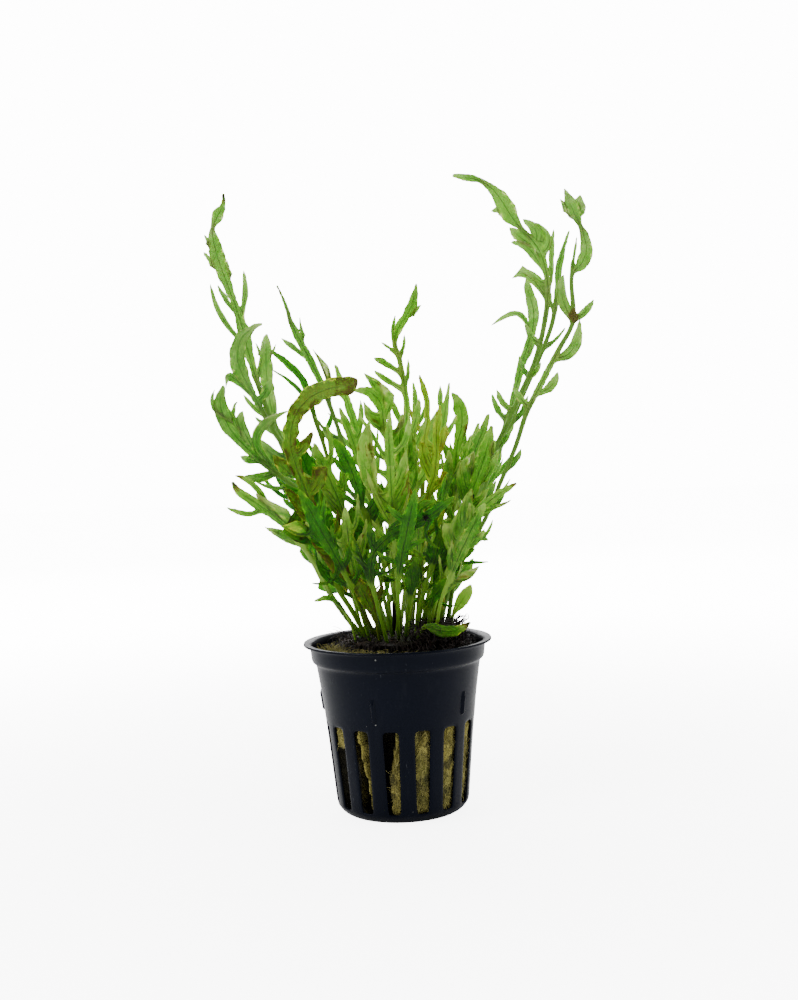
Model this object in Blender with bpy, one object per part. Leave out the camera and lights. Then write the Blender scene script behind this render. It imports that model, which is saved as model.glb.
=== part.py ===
"""A water fern in a slotted net pot: metres, +Z up, origin at the centre of the pot's underside."""
import math
import random

import bmesh
import bpy
from mathutils import Matrix, Vector

MM = 0.001

# Net pot, in millimetres: (radius, height) up its outer face from the rim of the flat underside
POT_FACE = [
    (15.0, 0.0), (17.8, 0.9), (19.3, 3.0), (21.65, 26.7),
    (22.5, 34.0), (23.9, 43.4), (25.2, 44.3), (25.6, 48.75), (27.5, 48.85),
]
POT_WALL = 0.75
UNDERSIDE_MIDDLE = 4.0     # radius of the three-cornered face in the middle of the underside
SLOTS = 15
SLOT_FIRST = -7.4          # azimuth of one slot's middle, degrees from the front towards +X
SLOT_LOW, SLOT_HIGH = 3.0, 26.7
SLOT_NARROWING = 0.9       # degrees that each side of a slot closes in at its lower end
RIBS = 5
RIB_FIRST = -19.4
RIB_SIZE = (1.0, 1.2, 7.0)
RIB_CENTRE = (22.6, 33.0)  # radius and height of a rib's middle
RIB_LEAN = 7.5

# What fills the pot
GAP = 0.32
WOOL_TOP = 44.6
WOOL_SIDES = 30
WOOL_ROWS = (3.4, 11, 19, 27, 35, WOOL_TOP - 1.6)  # heights of the rows up the plug's side
WOOL_TOP_RINGS = (23.0, 18.2, 15.8, 9.0)
WOOL_FOOT = 14.6           # radius of the plug's foot
WOOL_PLAY = 0.25           # the least room between the plug and the wall, beside the gap
WOOL_LUMP = 0.7            # how far the plug's side swells and sinks
WOOL_TOP_LUMP = 0.3
TUFT_AZIMUTH, TUFT_HALF, TUFT_RISE = -45.0, 62.0, 3.2
TUFT_FULL = 0.55           # share of the tuft's half angle that stands at full height
MAT_BOTTOM, MAT_TOP = WOOL_TOP + GAP + 0.25, 46.3
MAT_RADIUS = 23.1
MAT_CUT = 9.0              # how far the mat stands back beside the tuft
MAT_CUT_EDGE = (52.7, 84)  # degrees from the tuft's middle between which it comes forward again
MAT_WAVE = 0.4
MAT_LUMP = 0.35
MAT_SIDES = 24
MAT_ROWS = (               # (share of the radius, height) up the mat's side
    (0.6, MAT_BOTTOM), (0.96, MAT_BOTTOM), (1.0, MAT_TOP - 0.8), (0.86, MAT_TOP + 0.4), (0.55, MAT_TOP),
)
CROWN = (1.5, 0.0, 49.3)   # middle of the rootstock
CROWN_HALF = (17.0, 12.0, 2.5)
CROWN_SIDES, CROWN_ROWS = 14, 7
CROWN_LUMP = 0.08          # how deep its hollows are, as a share of its size

# The fronds' routes are read in a front view from this place, in millimetres
VIEW_X, VIEW_FAR, VIEW_Z = 2.0, 350.0, 101.0
BLADE_THICK, STALK_THICK = 0.42, 0.95
STRAIGHT = 0.5             # a bend or bulge smaller than this is left out of the ribbon
SWAY = 1.6                 # how far a tall frond bends forwards and back along its length
STALK_WIDTH = 1.35         # a stretch narrower than this counts as stalk
NARROWEST = 0.25           # least half width of a ribbon
MOST_TURNED = 0.7          # least cosine of a blade's turn that its width is corrected for
FILL_SPREAD = (22, 38)     # degrees between the midrib and a plain lobe
FILL_BOW, FILL_DRIFT = 0.1, 0.2
FILL_REACH = (0.8, 1.15)
LOBE_BASE = (0.8, 1.5)     # least and greatest half length of a lobe's base on the midrib
LOBE_APART = 0.4           # room between the bases of two lobes

# Each frond: foot (x, y) on the rootstock; depth (middle, tip); turn of the blade in degrees (foot, tip);
# route, points (x, z, width) of the front view; lobes, (x, z) where each leaves and (x, z) of its tip,
# with an optional point between, and its width; fill, (from, to, count, length, width) of plain lobes
FRONDS = {
    "frond_tall_left": dict(
        foot=(-3.5, 2.5), depth=(5, 8), turn=(35, 25),
        route=[(-8, 64, 1), (-18.5, 83, 1.1), (-28, 99.5, 1.2), (-34, 114, 1.3), (-37.5, 125, 1.6),
               (-39.6, 133, 2.6), (-41, 140.5, 3.6), (-43.6, 149.5, 2), (-47.3, 161, 4.8),
               (-48.6, 166.5, 3.8), (-48.8, 170.3, 1.3), (-47.2, 173.8, 3.6), (-45.4, 177, 1.4),
               (-45.2, 180.3, 0.7)],
        lobes=[(-42.4, 145.5, -40, 158.4, 1.9), (-43, 147.5, -48, 154.2, 1.6),
               (-40.8, 138.5, -48, 146, -50.9, 154, 1.9), (-46.6, 158.5, -51.7, 163.8, 1.6),
               (-48.4, 165.6, -51.3, 168.5, 1.2), (-45.6, 155.5, -45, 161, 1)],
        fill=(0.42, 0.62, 3, 9, 1.6)),
    "frond_curled_left": dict(
        foot=(-5, 0.5), depth=(1, -3), turn=(-25, -35),
        route=[(-12, 68, 1), (-20, 86, 1.1), (-28, 102, 1.2), (-34, 112, 1.4), (-37.5, 119, 1.8),
               (-42.8, 130, 4.6), (-43.2, 134.5, 5), (-41.8, 138.6, 4.4), (-38.5, 141.6, 2.6),
               (-35.5, 142.4, 1)],
        lobes=[(-39.5, 123, -45.5, 127.8, -46.8, 124.2, 3.2), (-38, 120.5, -33.5, 127, 2.4)],
        fill=(0.4, 0.66, 3, 9, 1.8)),
    "frond_pale_left": dict(
        foot=(-5, 6), depth=(14, 18), turn=(30, -35),
        route=[(-10, 66, 1), (-19, 86, 1.1), (-28, 103, 1.2), (-33, 113, 1.6), (-34.9, 126, 4.4),
               (-35, 133, 4.2), (-34.7, 137.5, 2.8), (-34.5, 139.6, 0.9)],
        lobes=[(-35, 132.5, -37.6, 137, 1.2), (-35, 132.5, -31.8, 136.6, 1.2)],
        fill=(0.4, 0.7, 4, 9, 1.8)),
    "frond_reaching_left": dict(
        foot=(-7, -2), depth=(-6, -10), turn=(-35, 30),
        route=[(-14, 68, 1.1), (-21, 86, 1.2), (-26.5, 93.5, 1.3), (-33, 98.8, 1.6), (-39.6, 104.6, 2),
               (-45, 110.8, 3.4), (-47.3, 115, 4.6), (-48.7, 120, 3.6), (-47.5, 125.2, 0.7)],
        lobes=[(-46.2, 113, -50.6, 118.5, -50.4, 124, 1.6), (-43.8, 109.2, -45.1, 116.5, -43.6, 120.3, 1.2),
               (-40.5, 105.4, -42.8, 113.5, -42.2, 117.5, 2.8), (-38, 103.2, -43.6, 104.4, 2.4),
               (-33.5, 99.2, -42.6, 98.6, 3), (-35, 100.6, -38.8, 110.5, -29, 117, 3)],
        fill=(0.25, 0.5, 3, 8, 1.8)),
    "frond_low_left": dict(
        foot=(-10.5, -3.5), depth=(-10, -16), turn=(-35, -25),
        route=[(-14.7, 56.6, 1.7), (-19.7, 64.5, 1.6), (-24.5, 74.5, 1.5), (-30, 82, 1.6),
               (-35.5, 87.6, 2.8), (-41, 91.6, 3), (-44.6, 94.4, 2.4), (-46.2, 97.2, 0.8)],
        lobes=[(-32.5, 84.5, -38, 91.4, -39, 94, 1.8), (-30, 82, -33.6, 82.6, -37, 83.6, 1.2),
               (-36.5, 88.4, -40.5, 96.2, -45.7, 98.3, 1.8), (-27, 78, -24.5, 86, 2.2)]),
    "frond_dark_left": dict(
        foot=(-9, -5.5), depth=(-9, -15), turn=(35, 15),
        route=[(-13, 58.5, 1.3), (-16.7, 65, 1.4), (-19, 75.5, 2.6), (-20.2, 84, 5), (-22, 93, 6),
               (-25, 102, 4.6), (-27.3, 109, 1.2)],
        lobes=[(-17.2, 67, -23.6, 75, 2.2), (-19.2, 77, -14.8, 86, 2.4), (-20, 83, -27, 91, 2.6),
               (-21.5, 91, -17.5, 99, 2.2)]),
    "frond_old_curled": dict(
        foot=(-6, -7), depth=(-20, -30), turn=(15, -35),
        route=[(-11, 60, 1.2), (-16, 72, 1.3), (-21, 84, 1.8), (-25.5, 95, 2.6), (-28.6, 105, 3.2),
               (-28.6, 111.5, 3.6), (-26.2, 117.4, 4.2), (-21.5, 121.6, 5.4), (-15.5, 123.4, 4.6),
               (-10.5, 124.1, 4.4), (-8.6, 124.4, 3.6)],
        lobes=[(-16.4, 73, -12.6, 70.5, -14.3, 63.8, 3), (-22.2, 87, -31, 95, 3.4),
               (-24.4, 92.4, -18.5, 101, 3), (-26.5, 98, -34, 104.5, 3.6), (-28.4, 104, -22.6, 110.5, 2.8)]),
    "frond_slender_left": dict(
        foot=(-2.5, 5), depth=(16, 28), turn=(35, -30),
        route=[(-7, 68, 0.9), (-10, 92, 1), (-13, 105, 1.2), (-16, 115, 1.4), (-19, 124, 2),
               (-22, 131, 2.5), (-25, 137.5, 2.8), (-27.2, 142.2, 1.8), (-28.6, 147.5, 1.1),
               (-30.9, 153.4, 0.5)],
        lobes=[(-24.6, 136.6, -24.4, 140.5, -24.8, 144, 1.5), (-23.6, 134.6, -30.4, 138.2, 1.8),
               (-17.6, 120, -18, 127, -21.2, 134.6, 0.9)],
        fill=(0.4, 0.66, 3, 9, 1.8)),
    "frond_back_left": dict(
        foot=(-4.5, 8.5), depth=(24, 38), turn=(45, -35),
        route=[(-9.5, 70, 0.9), (-15, 88, 1), (-19, 106, 1.3), (-21.4, 114.4, 1.6), (-22.8, 121, 2.2),
               (-25.1, 126.6, 2.6), (-29.4, 131.2, 2.2), (-33.8, 135, 0.6)],
        lobes=[(-22.4, 119, -26.5, 124, -33, 128.9, 1.6), (-20.2, 109.5, -16.5, 117, 1.6),
               (-18.4, 101, -24, 108, 1.8), (-16, 93, -11, 101, 1.8)]),
    "frond_small_left": dict(
        foot=(-12, -6), depth=(-9, -11), turn=(0, 0),
        route=[(-13.5, 55, 0.8), (-16.5, 60.2, 1), (-19, 62.1, 1.8), (-21.3, 62.2, 1.5),
               (-23.8, 61.4, 0.5)]),
    "frond_short_olive": dict(
        foot=(-5, -9.5), depth=(-14, -17), turn=(20, 20),
        route=[(-6, 54.5, 1), (-7.2, 58.5, 2.4), (-9, 62.5, 4.2), (-10.6, 66, 3.2), (-11.8, 69, 1)],
        lobes=[(-7.5, 60, -3.6, 66, 2)]),
    "frond_middle_left": dict(
        foot=(-8, 3.5), depth=(8, 12), turn=(-35, 15),
        route=[(-11, 64, 1), (-15, 76, 2), (-20, 88, 4.4), (-24.5, 97, 4), (-28.5, 104.5, 1.2)],
        lobes=[(-13, 70, -19.5, 77, 2.2), (-16.5, 80, -11.5, 88, 2.4), (-21, 90, -28.5, 95.5, 2.4),
               (-22, 93, -19, 102, 2)]),
    "frond_inner_left": dict(
        foot=(-1.5, -7), depth=(-18, -24), turn=(30, -25),
        route=[(-3.5, 62, 0.9), (-6.5, 78, 1.1), (-9, 90, 1.8), (-11.5, 99, 3.8), (-14, 104.5, 3.6),
               (-16, 108.5, 1)],
        lobes=[(-7, 81, -12, 89, 2), (-8.2, 87, -3, 95, 2.2), (-10.2, 95, -6.8, 104.5, 2.2)]),
    "frond_arching_front": dict(
        foot=(-3, -10.8), depth=(-30, -32), turn=(-10, 30),
        route=[(-5.5, 60, 1.1), (-7, 68, 1.8), (-6, 74.5, 2.4), (-1.5, 79.3, 3), (3.1, 81.4, 3.4),
               (8.5, 84, 3.2), (13.5, 87, 2.6), (18, 90.4, 0.8)],
        lobes=[(-6.8, 70, -12.5, 76, 2.2), (-4.8, 76, -6.8, 83.5, 2.2), (1, 80.6, 4.6, 76.4, 1.6),
               (5, 82.3, 9.6, 90, 2)]),
    "frond_heart_leaf": dict(
        foot=(2.5, -9), depth=(-14, -17), turn=(25, 20),
        route=[(3.2, 57, 0.9), (4.3, 62.5, 1.6), (4.8, 66.5, 4.6), (5.4, 70.2, 3.6), (6.2, 73.4, 0.9)]),
    "frond_tall_centre": dict(
        foot=(3.5, 2.5), depth=(8, 14), turn=(-30, 40),
        route=[(4.8, 62, 1), (6, 78, 1.1), (7, 92, 1.5), (6.2, 101, 2.4), (5.2, 112, 2.2), (5.2, 119, 2),
               (3.9, 129.5, 1.6), (2.4, 136, 1.8), (4.4, 140.8, 2.6), (7.4, 145, 3.2), (8.8, 149, 2.2),
               (9.4, 152.4, 0.6)],
        lobes=[(3.1, 132, 5.5, 137.8, 1.1), (2.8, 133.5, -1.2, 136, 0.9),
               (4.4, 127, -0.8, 130, -3.6, 131.4, 1.8),
               (5, 121.5, -0.8, 125.4, -3.7, 127.8, 1.9), (4.7, 124, 6.4, 131, 1.3),
               (6.6, 143.8, 10.4, 146.2, 1.2),
               (3, 138.4, 2.8, 143.4, 1.2), (6.8, 95, 13, 104.5, 3.4), (6.9, 93, 0.2, 108, 3),
               (5.3, 110, 9, 119.5, 2.2), (5.2, 112, 0.8, 119, 2)]),
    "frond_spiky_centre": dict(
        foot=(0, -2), depth=(-10, -18), turn=(-30, -20),
        route=[(-0.3, 64, 0.9), (-0.5, 84, 1), (-0.8, 104, 1.3), (-1.6, 112, 1.8), (-2.2, 118, 3.4),
               (-4.6, 121.3, 3.2), (-7.6, 122.2, 2), (-9.8, 122.1, 0.6)],
        lobes=[(-3.4, 120.4, -6.8, 127.3, 1.6), (-2.4, 119, -2.2, 124.6, 1.6),
               (-1.9, 115.5, 1.9, 120.8, 1.5),
               (-6, 121.9, -8.8, 125.4, 1.4), (-1.5, 111, -7.3, 115.9, 1.8), (-0.9, 106, 3.2, 113, 1.8)]),
    "frond_light_fan": dict(
        foot=(1, -5), depth=(-20, -34), turn=(25, -15),
        route=[(0.6, 62, 1), (0.2, 76, 1.2), (0, 88, 1.8), (-0.2, 98, 2.4), (-0.3, 107, 2.6), (0, 112, 1.8),
               (0.2, 115.6, 0.6)],
        lobes=[(0, 89.5, -7.6, 99.5, -5.6, 112.5, 4), (0.1, 83, -4.6, 91, -7.2, 99.5, 1.8),
               (0.1, 86, 5.2, 96, 2.6), (0, 94, 4.6, 104.5, 2.2),
               (-0.4, 102, -6.3, 111.3, -9.3, 114.2, 1.2)]),
    "frond_back_centre": dict(
        foot=(0, 9), depth=(30, 44), turn=(-50, 40),
        route=[(-1, 66, 0.9), (-4, 86, 1.1), (-8, 104, 1.8), (-11, 116, 2.8), (-13.5, 125, 2.2),
               (-15, 130, 0.6)],
        fill=(0.35, 0.88, 6, 9, 2)),
    "frond_back_right": dict(
        foot=(6, 9.5), depth=(28, 42), turn=(45, -40),
        route=[(7.5, 66, 0.9), (10, 84, 1.1), (13, 100, 1.8), (15.5, 111, 3), (17, 119, 2),
               (17.8, 123.5, 0.6)],
        fill=(0.35, 0.88, 6, 9, 2)),
    "frond_ovate_right": dict(
        foot=(8, 1.5), depth=(-4, -10), turn=(30, -30),
        route=[(11, 62, 1), (15.5, 78, 1.1), (18.4, 90, 1.5), (18.8, 99.3, 2.4), (19.6, 106, 2.5),
               (20.9, 110.5, 3.6), (21, 115, 4.2), (19.8, 118.6, 2.4), (18.4, 120.6, 0.6)],
        lobes=[(18.9, 99.8, 23.4, 108, 1.6), (19.9, 107, 23.4, 113, 0.9), (19.1, 102.5, 15.2, 106.8, 1.4),
               (18.7, 94.5, 14.8, 100, 1.6), (18.4, 90.5, 22.2, 96.5, 1.8), (17.4, 86, 13, 92.5, 1.8),
               (15.8, 79, 21, 86, 1.8)]),
    "frond_yellow_right": dict(
        foot=(5.5, -3.5), depth=(-14, -22), turn=(-35, 25),
        route=[(7, 64, 0.9), (8.6, 78, 1.1), (10.4, 90.7, 1.8), (12.6, 97, 2.4), (13.5, 104, 2.4),
               (13.5, 109, 2.2), (14.3, 113.5, 2), (15, 117, 0.6)],
        lobes=[(9.6, 85, 5.2, 93, 2), (11, 92.5, 16.4, 97.5, 1.6), (13.2, 100, 9.6, 106.5, 1.6),
               (13.5, 105, 17.4, 109, 1.4)]),
    "frond_olive_strap": dict(
        foot=(4.5, 6), depth=(18, 26), turn=(30, -35),
        route=[(6, 66, 0.9), (8, 82, 1.1), (9.2, 96, 1.6), (9.9, 106, 2.2), (11, 113, 2.2), (11, 119, 2),
               (10, 123.5, 1.4), (9.2, 126, 0.5)],
        lobes=[(7.8, 80, 18.4, 96.4, 2.6), (8.6, 89, 3.4, 98, 2), (9.6, 102, 15.4, 110, 1.8),
               (10.6, 110, 6, 117, 1.6)]),
    "frond_narrow_centre": dict(
        foot=(1, 6.2), depth=(26, 34), turn=(-40, 35),
        route=[(3, 66, 0.9), (4.5, 84, 1), (6.4, 102, 1.4), (7.8, 114, 2), (7.8, 119, 1.8), (7.4, 124, 0.5)],
        lobes=[(4.6, 86, -0.4, 95, 2), (5.4, 93, 10, 102, 2), (7, 108, 2.4, 115.5, 1.6),
               (7.6, 112.5, 11.5, 119.5, 1.4)]),
    "frond_light_right": dict(
        foot=(10, -1.5), depth=(-10, -18), turn=(-35, -10),
        route=[(13, 62, 1), (17.5, 75, 1.2), (22, 88, 2), (25, 96, 4.4), (27.4, 102, 4.8), (28.8, 107, 2.8),
               (29.6, 110.6, 0.7)],
        lobes=[(27.4, 102, 30.6, 106.4, 1.8), (24.6, 95.5, 24.6, 103.6, 2), (23.2, 91.5, 21, 101, 1.8),
               (19.5, 80.5, 25.6, 85, 2), (17.8, 76, 14.4, 84, 2), (22, 88, 28.6, 92.6, 2)]),
    "frond_front_right": dict(
        foot=(9, -5), depth=(-18, -30), turn=(35, 15),
        route=[(11.5, 60, 0.9), (15.5, 69, 1.2), (20, 79, 2.2), (24, 85, 2.6), (29.5, 89.6, 2.4),
               (34, 92.3, 1.6), (36.3, 93.7, 0.5)],
        lobes=[(17.8, 74, 15, 82.5, 2), (18.8, 76.5, 26, 77.7, 1.9), (23.4, 84, 23.2, 92.8, 1.8),
               (27, 87.8, 32, 87.4, 1.4)]),
    "frond_tall_right": dict(
        foot=(12, 2), depth=(2, 0), turn=(30, -40),
        route=[(14.5, 60, 1.3), (19.5, 76, 1.3), (24.7, 91.2, 1.3), (29.5, 102.3, 1.4), (34.3, 111, 1.5),
               (38.4, 119.4, 1.5), (42.9, 128.8, 1.5), (45.8, 138.7, 1.6), (47.4, 149.3, 1.7),
               (46, 158.3, 2), (43.5, 163.2, 2), (40.2, 167, 1.5), (37.4, 170.6, 4.4), (35, 174.8, 4.6),
               (32.2, 178.8, 2.4), (29, 181.1, 1.3), (25.5, 182, 1.8), (20.9, 183, 0.7)],
        lobes=[(43.5, 163.2, 36.6, 167.4, 2.8), (43.5, 163.2, 44, 167, 40.9, 169.8, 3.2),
               (45.6, 159.4, 48.2, 164.2, 44.4, 168.6, 1.9), (46.6, 155.6, 42, 161.4, 37.4, 163, 2.6),
               (47.3, 151.6, 40, 156.4, 2.4), (47.2, 147.5, 41.4, 153.6, 36.8, 152.8, 2.1),
               (47.3, 151.6, 48.7, 159, 49.8, 166.4, 1.6), (35.6, 173.8, 31.6, 172.2, 1.8),
               (44.6, 134, 40.5, 139.5, 2), (40.6, 124, 44.6, 128.4, 1.6), (36, 114.8, 31.5, 121, 1.8),
               (30.4, 104, 35.4, 109.6, 1.8), (26, 94, 22.2, 101.6, 1.9), (22.2, 84, 27, 92, 1.8)]),
    "frond_thin_right": dict(
        foot=(13, 5), depth=(10, 14), turn=(-40, 30),
        route=[(15, 62, 1), (21, 78, 1.1), (28, 95, 1.1), (34, 108, 1.2), (39.4, 119.6, 1.3),
               (44.4, 130, 1.4), (48.4, 140, 1.5), (50.2, 150, 2), (51, 157, 2.2), (54.1, 166, 0.5)],
        lobes=[(49.3, 144.5, 46.8, 151.5, 1.8), (45.8, 133, 51.8, 138, 1), (41.5, 123.6, 38.4, 130.5, 1.8),
               (36, 112, 40.6, 119, 1.6), (30, 99.5, 27.4, 107, 1.8), (25, 88.5, 30.4, 94.6, 1.8)]),
    "frond_outer_right": dict(
        foot=(14.5, -1.5), depth=(-6, -10), turn=(-35, 40),
        route=[(17, 65, 1.2), (21, 74, 1.3), (26.9, 83.7, 1.3), (31.6, 93.9, 1.3), (36.3, 104, 1.4),
               (40, 114, 1.6), (45.5, 124, 2), (50, 132, 1.6), (53.4, 137.5, 1.3), (54.5, 141.8, 1.6),
               (54.3, 152.8, 1.1), (57.2, 156, 3.6), (59, 160.3, 4.4), (58.2, 164.6, 3.2),
               (57.2, 167.4, 1.1), (56, 170.4, 4.6), (54.6, 174, 4), (53, 178, 0.7)],
        lobes=[(54.5, 141, 51.4, 147.5, 52.4, 153.4, 3.6), (54.2, 140.4, 60.7, 145.8, 2.2),
               (49, 130.2, 54.2, 132, 55.8, 140.2, 3.4), (43.5, 120.4, 47.6, 121.6, 49.4, 125.4, 2.6),
               (55.4, 154, 55.4, 159, 56.4, 164, 1), (56, 170.2, 59.2, 172.6, 1.4),
               (56, 170.2, 52.2, 171.4, 1.4),
               (54.9, 173.4, 57.8, 176, 1.2), (54.9, 173.4, 51.4, 175, 1.2), (40.8, 115.5, 36.6, 121.5, 2),
               (33.5, 98, 38, 103.6, 1.6), (28.5, 87, 33, 91.6, 1.6), (24.2, 79.5, 27.6, 77.4, 1.6)]),
    "frond_pale_right": dict(
        foot=(10.5, 6.5), depth=(16, 20), turn=(40, -30),
        route=[(16, 68, 1), (23, 86, 1.1), (29, 100, 1.3), (33.5, 110, 1.6), (36.8, 120, 2.2),
               (39, 128, 2.6), (41, 133.6, 2), (42.6, 138.6, 2.8), (42.9, 143.5, 3.4), (41.8, 148.5, 3),
               (41.3, 152.8, 0.7)],
        lobes=[(42.6, 138.6, 37.6, 143, 30, 139.8, 1.9), (39.6, 130.4, 43.4, 135.6, 1.3),
               (31.5, 105.5, 36, 112.6, 2), (25.5, 92, 32.2, 101, 1.2), (34.5, 112.5, 30, 119.5, 1.8),
               (29.5, 101, 25, 108.5, 1.8), (22.5, 85, 18.6, 92, 1.8)]),
    "frond_young_right": dict(
        foot=(15.5, -4.5), depth=(-7, -8), turn=(20, -10),
        route=[(16.3, 55.5, 0.8), (18, 58.2, 2.6), (19.8, 60.8, 4.2), (21.2, 63, 3), (22.1, 64.6, 0.7)]),
    "sheath_old_yellow": dict(
        foot=(12, -4.5), depth=(-5, -6), turn=(10, 10),
        route=[(12.4, 55, 2.2), (13.4, 59.5, 1.8), (14, 61.8, 0.5)]),
    "frond_three_corner": dict(
        foot=(9, -8), depth=(-10, -17.5), turn=(-20, -20),
        route=[(9.6, 56.5, 0.8), (11, 61, 2.2), (13.4, 64, 4.4), (15.8, 66.6, 0.8)]),
    "frond_over_rim": dict(
        foot=(6, -9.5), depth=(-16, -19), turn=(20, 20),
        route=[(8, 53, 1.2), (11.5, 51.8, 3.4), (15.5, 51, 3.6), (19, 51.9, 2.2), (21.4, 53.6, 0.7)]),
    "frond_dark_stalk_tall": dict(
        foot=(5.5, -6.5), depth=(-14, -17), turn=(25, 15),
        route=[(6.2, 56.2, 1.1), (7.8, 61.8, 1.1), (9.9, 68, 1.2), (11.6, 72, 1.8), (12.8, 75.5, 4),
               (14, 79, 2.8), (15, 82, 0.7)],
        lobes=[(11.2, 71.2, 8.6, 77.6, 1.8), (11.8, 72.8, 16.8, 77, 1.8)]),
    "frond_dark_stalk_low": dict(
        foot=(7.5, -2.5), depth=(-10, -11.5), turn=(-20, -20),
        route=[(8.6, 57.2, 1.1), (10.4, 60.6, 1.1), (13.3, 65.9, 1.1), (15.6, 69.4, 1.3), (17.8, 71.3, 1.8),
               (20.5, 73, 2.2), (23.5, 75, 0.6)],
        lobes=[(14, 67, 12.8, 73, 2), (16, 69.8, 17.6, 76.5, 2)]),
    "frond_front_left": dict(
        foot=(-8, -8), depth=(-22, -38), turn=(-20, 35),
        route=[(-11, 60, 0.9), (-15, 70, 1.6), (-20, 80, 3.8), (-24, 88, 3.4), (-27, 94, 0.8)],
        lobes=[(-13.2, 66, -19, 70, 2), (-15.5, 71.5, -12.5, 80, 2.2), (-20.5, 81, -27, 84.5, 2.2),
               (-22, 84, -19.5, 92, 2)]),
    "frond_low_back_left": dict(
        foot=(-10.5, 2), depth=(16, 28), turn=(-40, 40),
        route=[(-13, 64, 0.9), (-20, 78, 1.4), (-27, 90, 3.2), (-32, 98, 3.6), (-35.5, 104, 0.8)],
        fill=(0.3, 0.85, 5, 8, 2.2)),
    "frond_low_back_right": dict(
        foot=(12, 8.5), depth=(22, 34), turn=(40, -40),
        route=[(16, 64, 0.9), (21, 78, 1.4), (26, 90, 3), (30, 99, 3.4), (32.5, 105.5, 0.8)],
        fill=(0.3, 0.85, 5, 8, 2.2)),
    "frond_low_back": dict(
        foot=(3, 10.3), depth=(26, 36), turn=(20, -20),
        route=[(2.5, 64, 0.9), (1.5, 76, 1.8), (0.5, 86, 3.8), (0, 94, 2.6), (0, 98.5, 0.7)],
        lobes=[(1.5, 76, -5.5, 81.5, 2), (0.8, 83, 7.6, 88, 2), (0.2, 89, -6, 93.4, 1.8)]),
    "frond_low_front_right": dict(
        foot=(11, -8.3), depth=(-22, -36), turn=(25, -35),
        route=[(13, 60, 0.9), (16.5, 68, 1.5), (20.5, 76.5, 3.4), (24, 83, 3.2), (27, 88, 0.8)],
        fill=(0.35, 0.85, 4, 7, 2)),
    "frond_low_front": dict(
        foot=(0.5, -9.8), depth=(-30, -42), turn=(-15, 15),
        route=[(0.5, 60, 0.9), (1.5, 70, 1.8), (3.5, 79, 3.6), (5.5, 87, 3), (7, 93, 0.8)],
        lobes=[(1.8, 72, -5, 75.5, 1.8), (3, 77, 9.6, 78.6, 2), (4.8, 84, -1.5, 88.6, 2)]),
    "frond_mid_left": dict(
        foot=(-3, -2.5), depth=(-12, -16), turn=(-30, 20),
        route=[(-6, 62, 1), (-10, 75, 1.2), (-14.5, 88, 1.8), (-18, 97, 3.6), (-20.5, 103, 3),
               (-22, 107.5, 0.8)],
        lobes=[(-11, 78, -16.5, 84.5, 1.8), (-12.6, 83, -9, 91, 2), (-15, 89, -21, 96, 2),
               (-17, 94, -13.5, 102, 1.8)]),
    "frond_mid_centre_left": dict(
        foot=(-1.5, 1.2), depth=(2, 4), turn=(-35, 25),
        route=[(-2.5, 64, 0.9), (-4.5, 80, 1.1), (-7.5, 96, 1.5), (-10.5, 107, 3), (-13, 114, 2.2),
               (-14.2, 117.5, 0.6)],
        lobes=[(-3.8, 76, -9, 84, 1.8), (-5.5, 86, -1.5, 94, 1.8), (-7.5, 96, -13.5, 102, 1.8),
               (-9, 101.5, -5, 110, 1.8)]),
    "frond_mid_centre": dict(
        foot=(3, -1), depth=(-4, -8), turn=(25, -30),
        route=[(3.4, 64, 0.9), (3.8, 80, 1.1), (3.2, 95, 1.8), (2.6, 104, 3), (3.2, 111, 2.2),
               (4, 115, 0.6)],
        lobes=[(3.8, 76, 8.8, 83, 1.8), (3.6, 86, -1.4, 93, 1.8), (3, 97, 8.4, 104, 2)]),
    "frond_mid_right": dict(
        foot=(6, -0.5), depth=(-6, -10), turn=(-25, 25),
        route=[(8.6, 64, 0.9), (12, 78, 1.2), (15, 90, 2.2), (16.5, 98, 3), (17, 104, 0.8)],
        lobes=[(10.4, 72, 5.8, 79, 1.8), (12.4, 80, 18, 85, 1.8), (14, 86.5, 10.4, 94.5, 1.8)]),
    "frond_mid_right_outer": dict(
        foot=(7.3, 4.5), depth=(7, 9), turn=(30, -30),
        route=[(10.5, 66, 1), (16, 82, 1.1), (22, 97, 1.8), (26, 107, 3.2), (29, 114, 0.8)],
        lobes=[(13, 74, 18.5, 79, 1.8), (17, 85, 13.5, 93, 1.8), (20.5, 93.5, 26.5, 98, 2),
               (23, 99.5, 20.5, 107, 1.8)]),
    "frond_low_mid_left": dict(
        foot=(-4.5, -4.8), depth=(-16, -26), turn=(20, -20),
        route=[(-8, 60, 0.9), (-11.5, 68, 1.6), (-13, 77, 3.6), (-13.5, 84, 3), (-13.6, 88.5, 0.8)],
        lobes=[(-12.6, 74, -9.2, 80.5, 1.8)]),
    "frond_low_mid_right": dict(
        foot=(3.3, -6), depth=(-14, -22), turn=(-20, 20),
        route=[(4.6, 60, 0.9), (6, 68, 1.4), (6.8, 76, 3), (8, 84, 2.6), (8.8, 88.5, 0.7)]),
    "frond_far_back_left": dict(
        foot=(-7.8, 6.3), depth=(26, 40), turn=(-45, 35),
        route=[(-13, 68, 0.9), (-20, 84, 1.1), (-26.5, 98, 1.6), (-31, 108, 3.2), (-34.5, 116, 0.8)],
        fill=(0.35, 0.85, 5, 9, 2)),
    "frond_far_back_right": dict(
        foot=(9.2, 9.6), depth=(34, 46), turn=(40, -40),
        route=[(11, 66, 0.9), (15.5, 82, 1.1), (20, 96, 1.8), (23.5, 105, 3), (26, 111.5, 0.8)],
        fill=(0.35, 0.85, 5, 9, 2)),
    "stalk_dead_black": dict(
        foot=(-1, -4.4), depth=(-5, -6), turn=(0, 0),
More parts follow.
